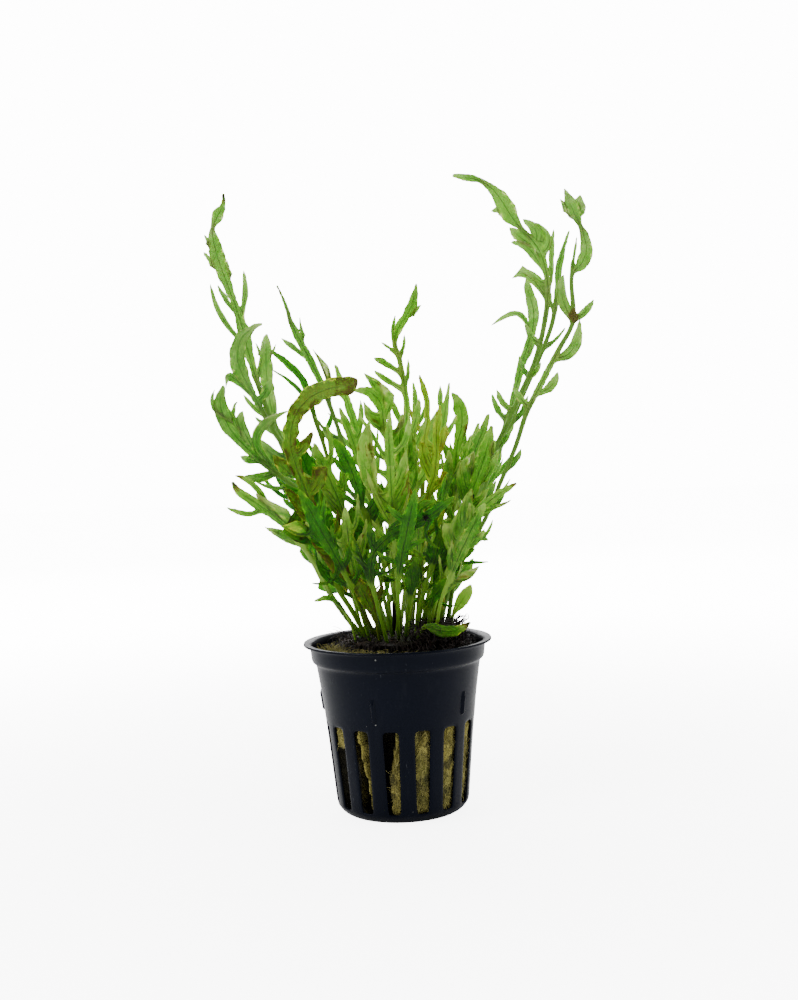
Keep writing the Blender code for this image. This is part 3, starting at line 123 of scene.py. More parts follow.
# Each frond: foot (x, y) on the rootstock; depth (middle, tip); turn of the blade in degrees (foot, tip);
# route, points (x, z, width) of the front view; lobes, (x, z) where each leaves and (x, z) of its tip,
# with an optional point between, and its width; fill, (from, to, count, length, width) of plain lobes
FRONDS = {
    "frond_tall_left": dict(
        foot=(-3.5, 2.5), depth=(5, 8), turn=(35, 25),
        route=[(-8, 64, 1), (-18.5, 83, 1.1), (-28, 99.5, 1.2), (-34, 114, 1.3), (-37.5, 125, 1.6),
               (-39.6, 133, 2.6), (-41, 140.5, 3.6), (-43.6, 149.5, 2), (-47.3, 161, 4.8),
               (-48.6, 166.5, 3.8), (-48.8, 170.3, 1.3), (-47.2, 173.8, 3.6), (-45.4, 177, 1.4),
               (-45.2, 180.3, 0.7)],
        lobes=[(-42.4, 145.5, -40, 158.4, 1.9), (-43, 147.5, -48, 154.2, 1.6),
               (-40.8, 138.5, -48, 146, -50.9, 154, 1.9), (-46.6, 158.5, -51.7, 163.8, 1.6),
               (-48.4, 165.6, -51.3, 168.5, 1.2), (-45.6, 155.5, -45, 161, 1)],
        fill=(0.42, 0.62, 3, 9, 1.6)),
    "frond_curled_left": dict(
        foot=(-5, 0.5), depth=(1, -3), turn=(-25, -35),
        route=[(-12, 68, 1), (-20, 86, 1.1), (-28, 102, 1.2), (-34, 112, 1.4), (-37.5, 119, 1.8),
               (-42.8, 130, 4.6), (-43.2, 134.5, 5), (-41.8, 138.6, 4.4), (-38.5, 141.6, 2.6),
               (-35.5, 142.4, 1)],
        lobes=[(-39.5, 123, -45.5, 127.8, -46.8, 124.2, 3.2), (-38, 120.5, -33.5, 127, 2.4)],
        fill=(0.4, 0.66, 3, 9, 1.8)),
    "frond_pale_left": dict(
        foot=(-5, 6), depth=(14, 18), turn=(30, -35),
        route=[(-10, 66, 1), (-19, 86, 1.1), (-28, 103, 1.2), (-33, 113, 1.6), (-34.9, 126, 4.4),
               (-35, 133, 4.2), (-34.7, 137.5, 2.8), (-34.5, 139.6, 0.9)],
        lobes=[(-35, 132.5, -37.6, 137, 1.2), (-35, 132.5, -31.8, 136.6, 1.2)],
        fill=(0.4, 0.7, 4, 9, 1.8)),
    "frond_reaching_left": dict(
        foot=(-7, -2), depth=(-6, -10), turn=(-35, 30),
        route=[(-14, 68, 1.1), (-21, 86, 1.2), (-26.5, 93.5, 1.3), (-33, 98.8, 1.6), (-39.6, 104.6, 2),
               (-45, 110.8, 3.4), (-47.3, 115, 4.6), (-48.7, 120, 3.6), (-47.5, 125.2, 0.7)],
        lobes=[(-46.2, 113, -50.6, 118.5, -50.4, 124, 1.6), (-43.8, 109.2, -45.1, 116.5, -43.6, 120.3, 1.2),
               (-40.5, 105.4, -42.8, 113.5, -42.2, 117.5, 2.8), (-38, 103.2, -43.6, 104.4, 2.4),
               (-33.5, 99.2, -42.6, 98.6, 3), (-35, 100.6, -38.8, 110.5, -29, 117, 3)],
        fill=(0.25, 0.5, 3, 8, 1.8)),
    "frond_low_left": dict(
        foot=(-10.5, -3.5), depth=(-10, -16), turn=(-35, -25),
        route=[(-14.7, 56.6, 1.7), (-19.7, 64.5, 1.6), (-24.5, 74.5, 1.5), (-30, 82, 1.6),
               (-35.5, 87.6, 2.8), (-41, 91.6, 3), (-44.6, 94.4, 2.4), (-46.2, 97.2, 0.8)],
        lobes=[(-32.5, 84.5, -38, 91.4, -39, 94, 1.8), (-30, 82, -33.6, 82.6, -37, 83.6, 1.2),
               (-36.5, 88.4, -40.5, 96.2, -45.7, 98.3, 1.8), (-27, 78, -24.5, 86, 2.2)]),
    "frond_dark_left": dict(
        foot=(-9, -5.5), depth=(-9, -15), turn=(35, 15),
        route=[(-13, 58.5, 1.3), (-16.7, 65, 1.4), (-19, 75.5, 2.6), (-20.2, 84, 5), (-22, 93, 6),
               (-25, 102, 4.6), (-27.3, 109, 1.2)],
        lobes=[(-17.2, 67, -23.6, 75, 2.2), (-19.2, 77, -14.8, 86, 2.4), (-20, 83, -27, 91, 2.6),
               (-21.5, 91, -17.5, 99, 2.2)]),
    "frond_old_curled": dict(
        foot=(-6, -7), depth=(-20, -30), turn=(15, -35),
        route=[(-11, 60, 1.2), (-16, 72, 1.3), (-21, 84, 1.8), (-25.5, 95, 3.0), (-28.6, 105, 4.0),
               (-28.6, 111.5, 4.4), (-26.2, 117.4, 5.0), (-21.5, 121.6, 6.2), (-15.5, 123.4, 5.6),
               (-10.5, 124.1, 4.8), (-8.6, 124.4, 3.6)],
        lobes=[(-16.4, 73, -12.6, 70.5, -14.3, 63.8, 3), (-22.2, 87, -31, 95, 3.4),
               (-24.4, 92.4, -18.5, 101, 3), (-26.5, 98, -34, 104.5, 3.6), (-28.4, 104, -22.6, 110.5, 2.8)]),
    "frond_slender_left": dict(
        foot=(-2.5, 5), depth=(16, 28), turn=(35, -30),
        route=[(-7, 68, 0.9), (-10, 92, 1), (-13, 105, 1.2), (-16, 115, 1.4), (-19, 124, 2),
               (-22, 131, 2.5), (-25, 137.5, 2.8), (-27.2, 142.2, 1.8), (-28.6, 147.5, 1.1),
               (-30.9, 153.4, 0.5)],
        lobes=[(-24.6, 136.6, -24.4, 140.5, -24.8, 144, 1.5), (-23.6, 134.6, -30.4, 138.2, 1.8),
               (-17.6, 120, -18, 127, -21.2, 134.6, 0.9)],
        fill=(0.4, 0.66, 3, 9, 1.8)),
    "frond_back_left": dict(
        foot=(-4.5, 8.5), depth=(24, 38), turn=(45, -35),
        route=[(-9.5, 70, 0.9), (-15, 88, 1), (-19, 106, 1.3), (-21.4, 114.4, 1.6), (-22.8, 121, 2.2),
               (-25.1, 126.6, 2.6), (-29.4, 131.2, 2.2), (-33.8, 135, 0.6)],
        lobes=[(-22.4, 119, -26.5, 124, -33, 128.9, 1.6), (-20.2, 109.5, -16.5, 117, 1.6),
               (-18.4, 101, -24, 108, 1.8), (-16, 93, -11, 101, 1.8)]),
    "frond_small_left": dict(
        foot=(-12, -6), depth=(-9, -11), turn=(0, 0),
        route=[(-13.5, 55, 0.8), (-16.5, 60.2, 1), (-19, 62.1, 1.8), (-21.3, 62.2, 1.5),
               (-23.8, 61.4, 0.5)]),
    "frond_short_olive": dict(
        foot=(-5, -9.5), depth=(-14, -17), turn=(20, 20),
        route=[(-6, 54.5, 1), (-7.2, 58.5, 2.4), (-9, 62.5, 4.2), (-10.6, 66, 3.2), (-11.8, 69, 1)],
        lobes=[(-7.5, 60, -3.6, 66, 2)]),
    "frond_middle_left": dict(
        foot=(-8, 3.5), depth=(8, 12), turn=(-35, 15),
        route=[(-11, 64, 1), (-15, 76, 2), (-20, 88, 4.4), (-24.5, 97, 4), (-28.5, 104.5, 1.2)],
        lobes=[(-13, 70, -19.5, 77, 2.2), (-16.5, 80, -11.5, 88, 2.4), (-21, 90, -28.5, 95.5, 2.4),
               (-22, 93, -19, 102, 2)]),
    "frond_inner_left": dict(
        foot=(-1.5, -7), depth=(-18, -24), turn=(30, -25),
        route=[(-3.5, 62, 0.9), (-6.5, 78, 1.1), (-9, 90, 1.8), (-11.5, 99, 3.8), (-14, 104.5, 3.6),
               (-16, 108.5, 1)],
        lobes=[(-7, 81, -12, 89, 2), (-8.2, 87, -3, 95, 2.2), (-10.2, 95, -6.8, 104.5, 2.2)]),
    "frond_arching_front": dict(
        foot=(-3, -10.8), depth=(-30, -32), turn=(-10, 30),
        route=[(-5.5, 60, 1.1), (-7, 68, 1.8), (-6, 74.5, 2.4), (-1.5, 79.3, 3), (3.1, 81.4, 3.4),
               (8.5, 84, 3.2), (13.5, 87, 2.6), (18, 90.4, 0.8)],
        lobes=[(-6.8, 70, -12.5, 76, 2.2), (-4.8, 76, -6.8, 83.5, 2.2), (1, 80.6, 4.6, 76.4, 1.6),
               (5, 82.3, 9.6, 90, 2)]),
    "frond_heart_leaf": dict(
        foot=(2.5, -9), depth=(-14, -17), turn=(25, 20),
        route=[(3.2, 57, 0.9), (4.3, 62.5, 1.6), (4.8, 66.5, 4.6), (5.4, 70.2, 3.6), (6.2, 73.4, 0.9)]),
    "frond_tall_centre": dict(
        foot=(3.5, 2.5), depth=(8, 14), turn=(-30, 40),
        route=[(4.8, 62, 1), (6, 78, 1.1), (7, 92, 1.5), (6.2, 101, 2.4), (5.2, 112, 2.2), (5.2, 119, 2),
               (3.9, 129.5, 1.6), (2.4, 136, 1.8), (4.4, 140.8, 2.6), (7.4, 145, 3.2), (8.8, 149, 2.2),
               (9.4, 152.4, 0.6)],
        lobes=[(3.1, 132, 5.5, 137.8, 1.1), (2.8, 133.5, -1.2, 136, 0.9),
               (4.4, 127, -0.8, 130, -3.6, 131.4, 1.8),
               (5, 121.5, -0.8, 125.4, -3.7, 127.8, 1.9), (4.7, 124, 6.4, 131, 1.3),
               (6.6, 143.8, 10.4, 146.2, 1.2),
               (3, 138.4, 2.8, 143.4, 1.2), (6.8, 95, 13, 104.5, 3.4), (6.9, 93, 0.2, 108, 3),
               (5.3, 110, 9, 119.5, 2.2), (5.2, 112, 0.8, 119, 2)]),
    "frond_spiky_centre": dict(
        foot=(0, -2), depth=(-10, -18), turn=(-30, -20),
        route=[(-0.3, 64, 0.9), (-0.5, 84, 1), (-0.8, 104, 1.3), (-1.6, 112, 1.8), (-2.2, 118, 3.4),
               (-4.6, 121.3, 3.2), (-7.6, 122.2, 2), (-9.8, 122.1, 0.6)],
        lobes=[(-3.4, 120.4, -6.8, 127.3, 1.6), (-2.4, 119, -2.2, 124.6, 1.6),
               (-1.9, 115.5, 1.9, 120.8, 1.5),
               (-6, 121.9, -8.8, 125.4, 1.4), (-1.5, 111, -7.3, 115.9, 1.8), (-0.9, 106, 3.2, 113, 1.8)]),
    "frond_light_fan": dict(
        foot=(1, -5), depth=(-20, -34), turn=(25, -15),
        route=[(0.6, 62, 1), (0.2, 76, 1.2), (0, 88, 1.8), (-0.2, 98, 2.4), (-0.3, 107, 2.6), (0, 112, 1.8),
               (0.2, 115.6, 0.6)],
        lobes=[(0, 89.5, -7.6, 99.5, -5.6, 112.5, 4), (0.1, 83, -4.6, 91, -7.2, 99.5, 1.8),
               (0.1, 86, 5.2, 96, 2.6), (0, 94, 4.6, 104.5, 2.2),
               (-0.4, 102, -6.3, 111.3, -9.3, 114.2, 1.2)]),
    "frond_back_centre": dict(
        foot=(0, 9), depth=(30, 44), turn=(-50, 40),
        route=[(-1, 66, 0.9), (-4, 86, 1.1), (-8, 104, 1.8), (-11, 116, 2.8), (-13.5, 125, 2.2),
               (-15, 130, 0.6)],
        fill=(0.35, 0.88, 6, 9, 2)),
    "frond_back_right": dict(
        foot=(6, 9.5), depth=(28, 42), turn=(45, -40),
        route=[(7.5, 66, 0.9), (10, 84, 1.1), (13, 100, 1.8), (15.5, 111, 3), (17, 119, 2),
               (17.8, 123.5, 0.6)],
        fill=(0.35, 0.88, 6, 9, 2)),
    "frond_ovate_right": dict(
        foot=(8, 1.5), depth=(-4, -10), turn=(30, -30),
        route=[(11, 62, 1), (15.5, 78, 1.1), (18.4, 90, 1.5), (18.8, 99.3, 2.4), (19.6, 106, 2.5),
               (20.9, 110.5, 3.6), (21, 115, 4.2), (19.8, 118.6, 2.4), (18.4, 120.6, 0.6)],
        lobes=[(18.9, 99.8, 23.4, 108, 1.6), (19.9, 107, 23.4, 113, 0.9), (19.1, 102.5, 15.2, 106.8, 1.4),
               (18.7, 94.5, 14.8, 100, 1.6), (18.4, 90.5, 22.2, 96.5, 1.8), (17.4, 86, 13, 92.5, 1.8),
               (15.8, 79, 21, 86, 1.8)]),
    "frond_yellow_right": dict(
        foot=(5.5, -3.5), depth=(-14, -22), turn=(-35, 25),
        route=[(7, 64, 0.9), (8.6, 78, 1.1), (10.4, 90.7, 1.8), (12.6, 97, 2.4), (13.5, 104, 2.4),
               (13.5, 109, 2.2), (14.3, 113.5, 2), (15, 117, 0.6)],
        lobes=[(9.6, 85, 5.2, 93, 2), (11, 92.5, 16.4, 97.5, 1.6), (13.2, 100, 9.6, 106.5, 1.6),
               (13.5, 105, 17.4, 109, 1.4)]),
    "frond_olive_strap": dict(
        foot=(4.5, 6), depth=(18, 26), turn=(30, -35),
        route=[(6, 66, 0.9), (8, 82, 1.1), (9.2, 96, 1.6), (9.9, 106, 2.2), (11, 113, 2.2), (11, 119, 2),
               (10, 123.5, 1.4), (9.2, 126, 0.5)],
        lobes=[(7.8, 80, 18.4, 96.4, 2.6), (8.6, 89, 3.4, 98, 2), (9.6, 102, 15.4, 110, 1.8),
               (10.6, 110, 6, 117, 1.6)]),
    "frond_narrow_centre": dict(
        foot=(1, 6.2), depth=(26, 34), turn=(-40, 35),
        route=[(3, 66, 0.9), (4.5, 84, 1), (6.4, 102, 1.4), (7.8, 114, 2), (7.8, 119, 1.8), (7.4, 124, 0.5)],
        lobes=[(4.6, 86, -0.4, 95, 2), (5.4, 93, 10, 102, 2), (7, 108, 2.4, 115.5, 1.6),
               (7.6, 112.5, 11.5, 119.5, 1.4)]),
    "frond_light_right": dict(
        foot=(10, -1.5), depth=(-10, -18), turn=(-35, -10),
        route=[(13, 62, 1), (17.5, 75, 1.2), (22, 88, 2), (25, 96, 4.4), (27.4, 102, 4.8), (28.8, 107, 2.8),
               (29.6, 110.6, 0.7)],
        lobes=[(27.4, 102, 30.6, 106.4, 1.8), (24.6, 95.5, 24.6, 103.6, 2), (23.2, 91.5, 21, 101, 1.8),
               (19.5, 80.5, 25.6, 85, 2), (17.8, 76, 14.4, 84, 2), (22, 88, 28.6, 92.6, 2)]),
    "frond_front_right": dict(
        foot=(9, -5), depth=(-18, -30), turn=(35, 15),
        route=[(11.5, 60, 0.9), (15.5, 69, 1.2), (20, 79, 2.2), (24, 85, 2.6), (29.5, 89.6, 2.4),
               (34, 92.3, 1.6), (36.3, 93.7, 0.5)],
        lobes=[(17.8, 74, 15, 82.5, 2), (18.8, 76.5, 26, 77.7, 1.9), (23.4, 84, 23.2, 92.8, 1.8),
               (27, 87.8, 32, 87.4, 1.4)]),
    "frond_tall_right": dict(
        foot=(12, 2), depth=(2, 0), turn=(30, -40),
        route=[(14.5, 60, 1.3), (19.5, 76, 1.3), (24.7, 91.2, 1.3), (29.5, 102.3, 1.4), (34.3, 111, 1.5),
               (38.4, 119.4, 1.5), (42.9, 128.8, 1.5), (45.8, 138.7, 1.6), (47.4, 149.3, 1.7),
               (46, 158.3, 2), (43.5, 163.2, 2), (40.2, 167, 1.5), (37.4, 170.6, 4.4), (35, 174.8, 4.6),
               (32.2, 178.8, 2.4), (29, 181.1, 1.3), (25.5, 182, 1.8), (20.9, 183, 0.7)],
        lobes=[(43.5, 163.2, 36.6, 167.4, 2.8), (43.5, 163.2, 44, 167, 40.9, 169.8, 3.2),
               (45.6, 159.4, 48.2, 164.2, 44.4, 168.6, 1.9), (46.6, 155.6, 42, 161.4, 37.4, 163, 2.6),
               (47.3, 151.6, 40, 156.4, 2.4), (47.2, 147.5, 41.4, 153.6, 36.8, 152.8, 2.1),
               (47.3, 151.6, 48.7, 159, 49.8, 166.4, 1.6), (35.6, 173.8, 31.6, 172.2, 1.8),
               (44.6, 134, 40.5, 139.5, 2), (40.6, 124, 44.6, 128.4, 1.6), (36, 114.8, 31.5, 121, 1.8),
               (30.4, 104, 35.4, 109.6, 1.8), (26, 94, 22.2, 101.6, 1.9), (22.2, 84, 27, 92, 1.8)]),
    "frond_thin_right": dict(
        foot=(13, 5), depth=(10, 14), turn=(-40, 30),
        route=[(15, 62, 1), (21, 78, 1.1), (28, 95, 1.1), (34, 108, 1.2), (39.4, 119.6, 1.3),
               (44.4, 130, 1.4), (48.4, 140, 1.5), (50.2, 150, 2), (51, 157, 2.2), (54.1, 166, 0.5)],
        lobes=[(49.3, 144.5, 46.8, 151.5, 1.8), (45.8, 133, 51.8, 138, 1), (41.5, 123.6, 38.4, 130.5, 1.8),
               (36, 112, 40.6, 119, 1.6), (30, 99.5, 27.4, 107, 1.8), (25, 88.5, 30.4, 94.6, 1.8)]),
    "frond_outer_right": dict(
        foot=(14.5, -1.5), depth=(-6, -10), turn=(-35, 40),
        route=[(17, 65, 1.2), (21, 74, 1.3), (26.9, 83.7, 1.3), (31.6, 93.9, 1.3), (36.3, 104, 1.4),
               (40, 114, 1.6), (45.5, 124, 2), (50, 132, 1.6), (53.4, 137.5, 1.3), (54.5, 141.8, 1.6),
               (54.3, 152.8, 1.1), (57.2, 156, 3.6), (59, 160.3, 4.4), (58.2, 164.6, 3.2),
               (57.2, 167.4, 1.1), (56, 170.4, 4.6), (54.6, 174, 4), (53, 178, 0.7)],
        lobes=[(54.5, 141, 51.4, 147.5, 52.4, 153.4, 3.6), (54.2, 140.4, 60.7, 145.8, 2.2),
               (49, 130.2, 54.2, 132, 55.8, 140.2, 3.4), (43.5, 120.4, 47.6, 121.6, 49.4, 125.4, 2.6),
               (55.4, 154, 55.4, 159, 56.4, 164, 1), (56, 170.2, 59.2, 172.6, 1.4),
               (56, 170.2, 52.2, 171.4, 1.4),
               (54.9, 173.4, 57.8, 176, 1.2), (54.9, 173.4, 51.4, 175, 1.2), (40.8, 115.5, 36.6, 121.5, 2),
               (33.5, 98, 38, 103.6, 1.6), (28.5, 87, 33, 91.6, 1.6), (24.2, 79.5, 27.6, 77.4, 1.6)]),
    "frond_pale_right": dict(
        foot=(10.5, 6.5), depth=(16, 20), turn=(40, -30),
        route=[(16, 68, 1), (23, 86, 1.1), (29, 100, 1.3), (33.5, 110, 1.6), (36.8, 120, 2.2),
               (39, 128, 2.6), (41, 133.6, 2), (42.6, 138.6, 2.8), (42.9, 143.5, 3.4), (41.8, 148.5, 3),
               (41.3, 152.8, 0.7)],
        lobes=[(42.6, 138.6, 37.6, 143, 30, 139.8, 1.9), (39.6, 130.4, 43.4, 135.6, 1.3),
               (31.5, 105.5, 36, 112.6, 2), (25.5, 92, 32.2, 101, 1.2), (34.5, 112.5, 30, 119.5, 1.8),
               (29.5, 101, 25, 108.5, 1.8), (22.5, 85, 18.6, 92, 1.8)]),
    "frond_young_right": dict(
        foot=(15.5, -4.5), depth=(-7, -8), turn=(20, -10),
        route=[(16.3, 55.5, 0.8), (18, 58.2, 2.6), (19.8, 60.8, 4.2), (21.2, 63, 3), (22.1, 64.6, 0.7)]),
    "sheath_old_yellow": dict(
        foot=(12, -4.5), depth=(-5, -6), turn=(10, 10),
        route=[(12.4, 55, 2.2), (13.4, 59.5, 1.8), (14, 61.8, 0.5)]),
    "frond_three_corner": dict(
        foot=(9, -8), depth=(-10, -17.5), turn=(-20, -20),
        route=[(9.6, 56.5, 0.8), (11, 61, 2.2), (13.4, 64, 4.4), (15.8, 66.6, 0.8)]),
    "frond_over_rim": dict(
        foot=(6, -9.5), depth=(-16, -19), turn=(20, 20),
        route=[(8, 53, 1.2), (11.5, 51.8, 3.4), (15.5, 51, 3.6), (19, 51.9, 2.2), (21.4, 53.6, 0.7)]),
    "frond_dark_stalk_tall": dict(
        foot=(5.5, -6.5), depth=(-14, -17), turn=(25, 15),
        route=[(6.2, 56.2, 1.1), (7.8, 61.8, 1.1), (9.9, 68, 1.2), (11.6, 72, 1.8), (12.8, 75.5, 4),
               (14, 79, 2.8), (15, 82, 0.7)],
        lobes=[(11.2, 71.2, 8.6, 77.6, 1.8), (11.8, 72.8, 16.8, 77, 1.8)]),
    "frond_dark_stalk_low": dict(
        foot=(7.5, -2.5), depth=(-10, -11.5), turn=(-20, -20),
        route=[(8.6, 57.2, 1.1), (10.4, 60.6, 1.1), (13.3, 65.9, 1.1), (15.6, 69.4, 1.3), (17.8, 71.3, 1.8),
               (20.5, 73, 2.2), (23.5, 75, 0.6)],
        lobes=[(14, 67, 12.8, 73, 2), (16, 69.8, 17.6, 76.5, 2)]),
    "frond_front_left": dict(
        foot=(-8, -8), depth=(-22, -38), turn=(-20, 35),
        route=[(-11, 60, 0.9), (-15, 70, 1.6), (-20, 80, 3.8), (-24, 88, 3.4), (-27, 94, 0.8)],
        lobes=[(-13.2, 66, -19, 70, 2), (-15.5, 71.5, -12.5, 80, 2.2), (-20.5, 81, -27, 84.5, 2.2),
               (-22, 84, -19.5, 92, 2)]),
    "frond_low_back_left": dict(
        foot=(-10.5, 2), depth=(16, 28), turn=(-40, 40),
        route=[(-13, 64, 0.9), (-20, 78, 1.4), (-27, 90, 3.2), (-32, 98, 3.6), (-35.5, 104, 0.8)],
        fill=(0.3, 0.85, 5, 8, 2.2)),
    "frond_low_back_right": dict(
        foot=(12, 8.5), depth=(22, 34), turn=(40, -40),
        route=[(16, 64, 0.9), (21, 78, 1.4), (26, 90, 3), (30, 99, 3.4), (32.5, 105.5, 0.8)],
        fill=(0.3, 0.85, 5, 8, 2.2)),
    "frond_low_back": dict(
        foot=(3, 10.3), depth=(26, 36), turn=(20, -20),
        route=[(2.5, 64, 0.9), (1.5, 76, 1.8), (0.5, 86, 3.8), (0, 94, 2.6), (0, 98.5, 0.7)],
        lobes=[(1.5, 76, -5.5, 81.5, 2), (0.8, 83, 7.6, 88, 2), (0.2, 89, -6, 93.4, 1.8)]),
    "frond_low_front_right": dict(
        foot=(11, -8.3), depth=(-22, -36), turn=(25, -35),
        route=[(13, 60, 0.9), (16.5, 68, 1.5), (20.5, 76.5, 3.4), (24, 83, 3.2), (27, 88, 0.8)],
        fill=(0.35, 0.85, 4, 7, 2)),
    "frond_low_front": dict(
        foot=(0.5, -9.8), depth=(-30, -42), turn=(-15, 15),
        route=[(0.5, 60, 0.9), (1.5, 70, 1.8), (3.5, 79, 3.6), (5.5, 87, 3), (7, 93, 0.8)],
        lobes=[(1.8, 72, -5, 75.5, 1.8), (3, 77, 9.6, 78.6, 2), (4.8, 84, -1.5, 88.6, 2)]),
    "frond_mid_left": dict(
        foot=(-3, -2.5), depth=(-12, -16), turn=(-30, 20),
        route=[(-6, 62, 1), (-10, 75, 1.2), (-14.5, 88, 1.8), (-18, 97, 3.6), (-20.5, 103, 3),
               (-22, 107.5, 0.8)],
        lobes=[(-11, 78, -16.5, 84.5, 1.8), (-12.6, 83, -9, 91, 2), (-15, 89, -21, 96, 2),
               (-17, 94, -13.5, 102, 1.8)]),
    "frond_mid_centre_left": dict(
        foot=(-1.5, 1.2), depth=(2, 4), turn=(-35, 25),
        route=[(-2.5, 64, 0.9), (-4.5, 80, 1.1), (-7.5, 96, 1.5), (-10.5, 107, 3), (-13, 114, 2.2),
               (-14.2, 117.5, 0.6)],
        lobes=[(-3.8, 76, -9, 84, 1.8), (-5.5, 86, -1.5, 94, 1.8), (-7.5, 96, -13.5, 102, 1.8),
               (-9, 101.5, -5, 110, 1.8)]),
    "frond_mid_centre": dict(
        foot=(3, -1), depth=(-4, -8), turn=(25, -30),
        route=[(3.4, 64, 0.9), (3.8, 80, 1.1), (3.2, 95, 1.8), (2.6, 104, 3), (3.2, 111, 2.2),
               (4, 115, 0.6)],
        lobes=[(3.8, 76, 8.8, 83, 1.8), (3.6, 86, -1.4, 93, 1.8), (3, 97, 8.4, 104, 2)]),
    "frond_mid_right": dict(
        foot=(6, -0.5), depth=(-6, -10), turn=(-25, 25),
        route=[(8.6, 64, 0.9), (12, 78, 1.2), (15, 90, 2.2), (16.5, 98, 3), (17, 104, 0.8)],
        lobes=[(10.4, 72, 5.8, 79, 1.8), (12.4, 80, 18, 85, 1.8), (14, 86.5, 10.4, 94.5, 1.8)]),
    "frond_mid_right_outer": dict(
        foot=(7.3, 4.5), depth=(7, 9), turn=(30, -30),
        route=[(10.5, 66, 1), (16, 82, 1.1), (22, 97, 1.8), (26, 107, 3.2), (29, 114, 0.8)],
        lobes=[(13, 74, 18.5, 79, 1.8), (17, 85, 13.5, 93, 1.8), (20.5, 93.5, 26.5, 98, 2),
               (23, 99.5, 20.5, 107, 1.8)]),
    "frond_low_mid_left": dict(
        foot=(-4.5, -4.8), depth=(-16, -26), turn=(20, -20),
        route=[(-8, 60, 0.9), (-11.5, 68, 1.6), (-13, 77, 3.6), (-13.5, 84, 3), (-13.6, 88.5, 0.8)],
        lobes=[(-12.6, 74, -9.2, 80.5, 1.8)]),
    "frond_low_mid_right": dict(
        foot=(3.3, -6), depth=(-14, -22), turn=(-20, 20),
        route=[(4.6, 60, 0.9), (6, 68, 1.4), (6.8, 76, 3), (8, 84, 2.6), (8.8, 88.5, 0.7)]),
    "frond_far_back_left": dict(
        foot=(-7.8, 6.3), depth=(26, 40), turn=(-45, 35),
        route=[(-13, 68, 0.9), (-20, 84, 1.1), (-26.5, 98, 1.6), (-31, 108, 3.2), (-34.5, 116, 0.8)],
        fill=(0.35, 0.85, 5, 9, 2)),
    "frond_far_back_right": dict(
        foot=(9.2, 9.6), depth=(34, 46), turn=(40, -40),
        route=[(11, 66, 0.9), (15.5, 82, 1.1), (20, 96, 1.8), (23.5, 105, 3), (26, 111.5, 0.8)],
        fill=(0.35, 0.85, 5, 9, 2)),
    "stalk_dead_black": dict(
        foot=(-1, -4.4), depth=(-5, -6), turn=(0, 0),
        route=[(-0.6, 54, 1.2), (-0.7, 58, 1.1), (-0.9, 60.4, 0.6)]),
}

EXTRA = {  # (from, to, count, length, width) of the narrow lobes between the named ones
    "frond_mid_left": (0.16, 0.9, 9, 9, 1.7), "frond_mid_centre_left": (0.14, 0.85, 9, 9, 1.7),
    "frond_mid_centre": (0.12, 0.85, 10, 9, 1.7), "frond_mid_right": (0.16, 0.85, 9, 8, 1.7),
    "frond_mid_right_outer": (0.2, 0.8, 8, 9, 1.7), "frond_low_mid_left": (0.35, 0.85, 5, 8, 1.5),
    "frond_low_mid_right": (0.35, 0.85, 5, 8, 1.5), "frond_inner_left": (0.25, 0.85, 8, 9, 1.7),
    "frond_light_fan": (0.3, 0.8, 7, 9, 1.6), "frond_spiky_centre": (0.2, 0.8, 10, 9, 1.6),
    "frond_tall_centre": (0.2, 0.5, 5, 10, 1.7), "frond_yellow_right": (0.25, 0.8, 7, 8, 1.6),
    "frond_ovate_right": (0.15, 0.7, 8, 8, 1.7), "frond_light_right": (0.2, 0.75, 7, 8, 1.7),
    "frond_olive_strap": (0.3, 0.7, 5, 9, 1.6), "frond_narrow_centre": (0.25, 0.75, 7, 9, 1.6),
    "frond_middle_left": (0.2, 0.85, 8, 9, 1.6), "frond_dark_left": (0.25, 0.85, 7, 9, 1.6),
    "frond_front_left": (0.35, 0.85, 5, 8, 1.5), "frond_low_left": (0.4, 0.8, 4, 8, 1.6),
    "frond_reaching_left": (0.3, 0.55, 4, 9, 1.6), "frond_curled_left": (0.3, 0.55, 4, 9, 1.6),
    "frond_slender_left": (0.3, 0.55, 4, 9, 1.4), "frond_old_curled": (0.2, 0.5, 5, 8, 1.6),
    "frond_low_front_right": (0.4, 0.85, 4, 7, 1.4), "frond_front_right": (0.25, 0.75, 7, 7, 1.3),
    "frond_arching_front": (0.35, 0.9, 8, 8, 1.1), "frond_dark_stalk_tall": (0.4, 0.9, 6, 7, 1.1),
    "frond_dark_stalk_low": (0.4, 0.9, 6, 7, 1.1), "frond_low_back_left": (0.25, 0.8, 6, 8, 1.6),
    "frond_low_back_right": (0.25, 0.8, 6, 8, 1.6), "frond_low_back": (0.25, 0.8, 6, 8, 1.6),
    "frond_back_centre": (0.3, 0.75, 6, 7, 1.6), "frond_back_right": (0.3, 0.75, 6, 7, 1.6),
    "frond_far_back_left": (0.3, 0.75, 6, 7, 1.6), "frond_far_back_right": (0.3, 0.75, 6, 6, 1.6),
    "frond_pale_left": (0.25, 0.6, 4, 9, 1.6),
}
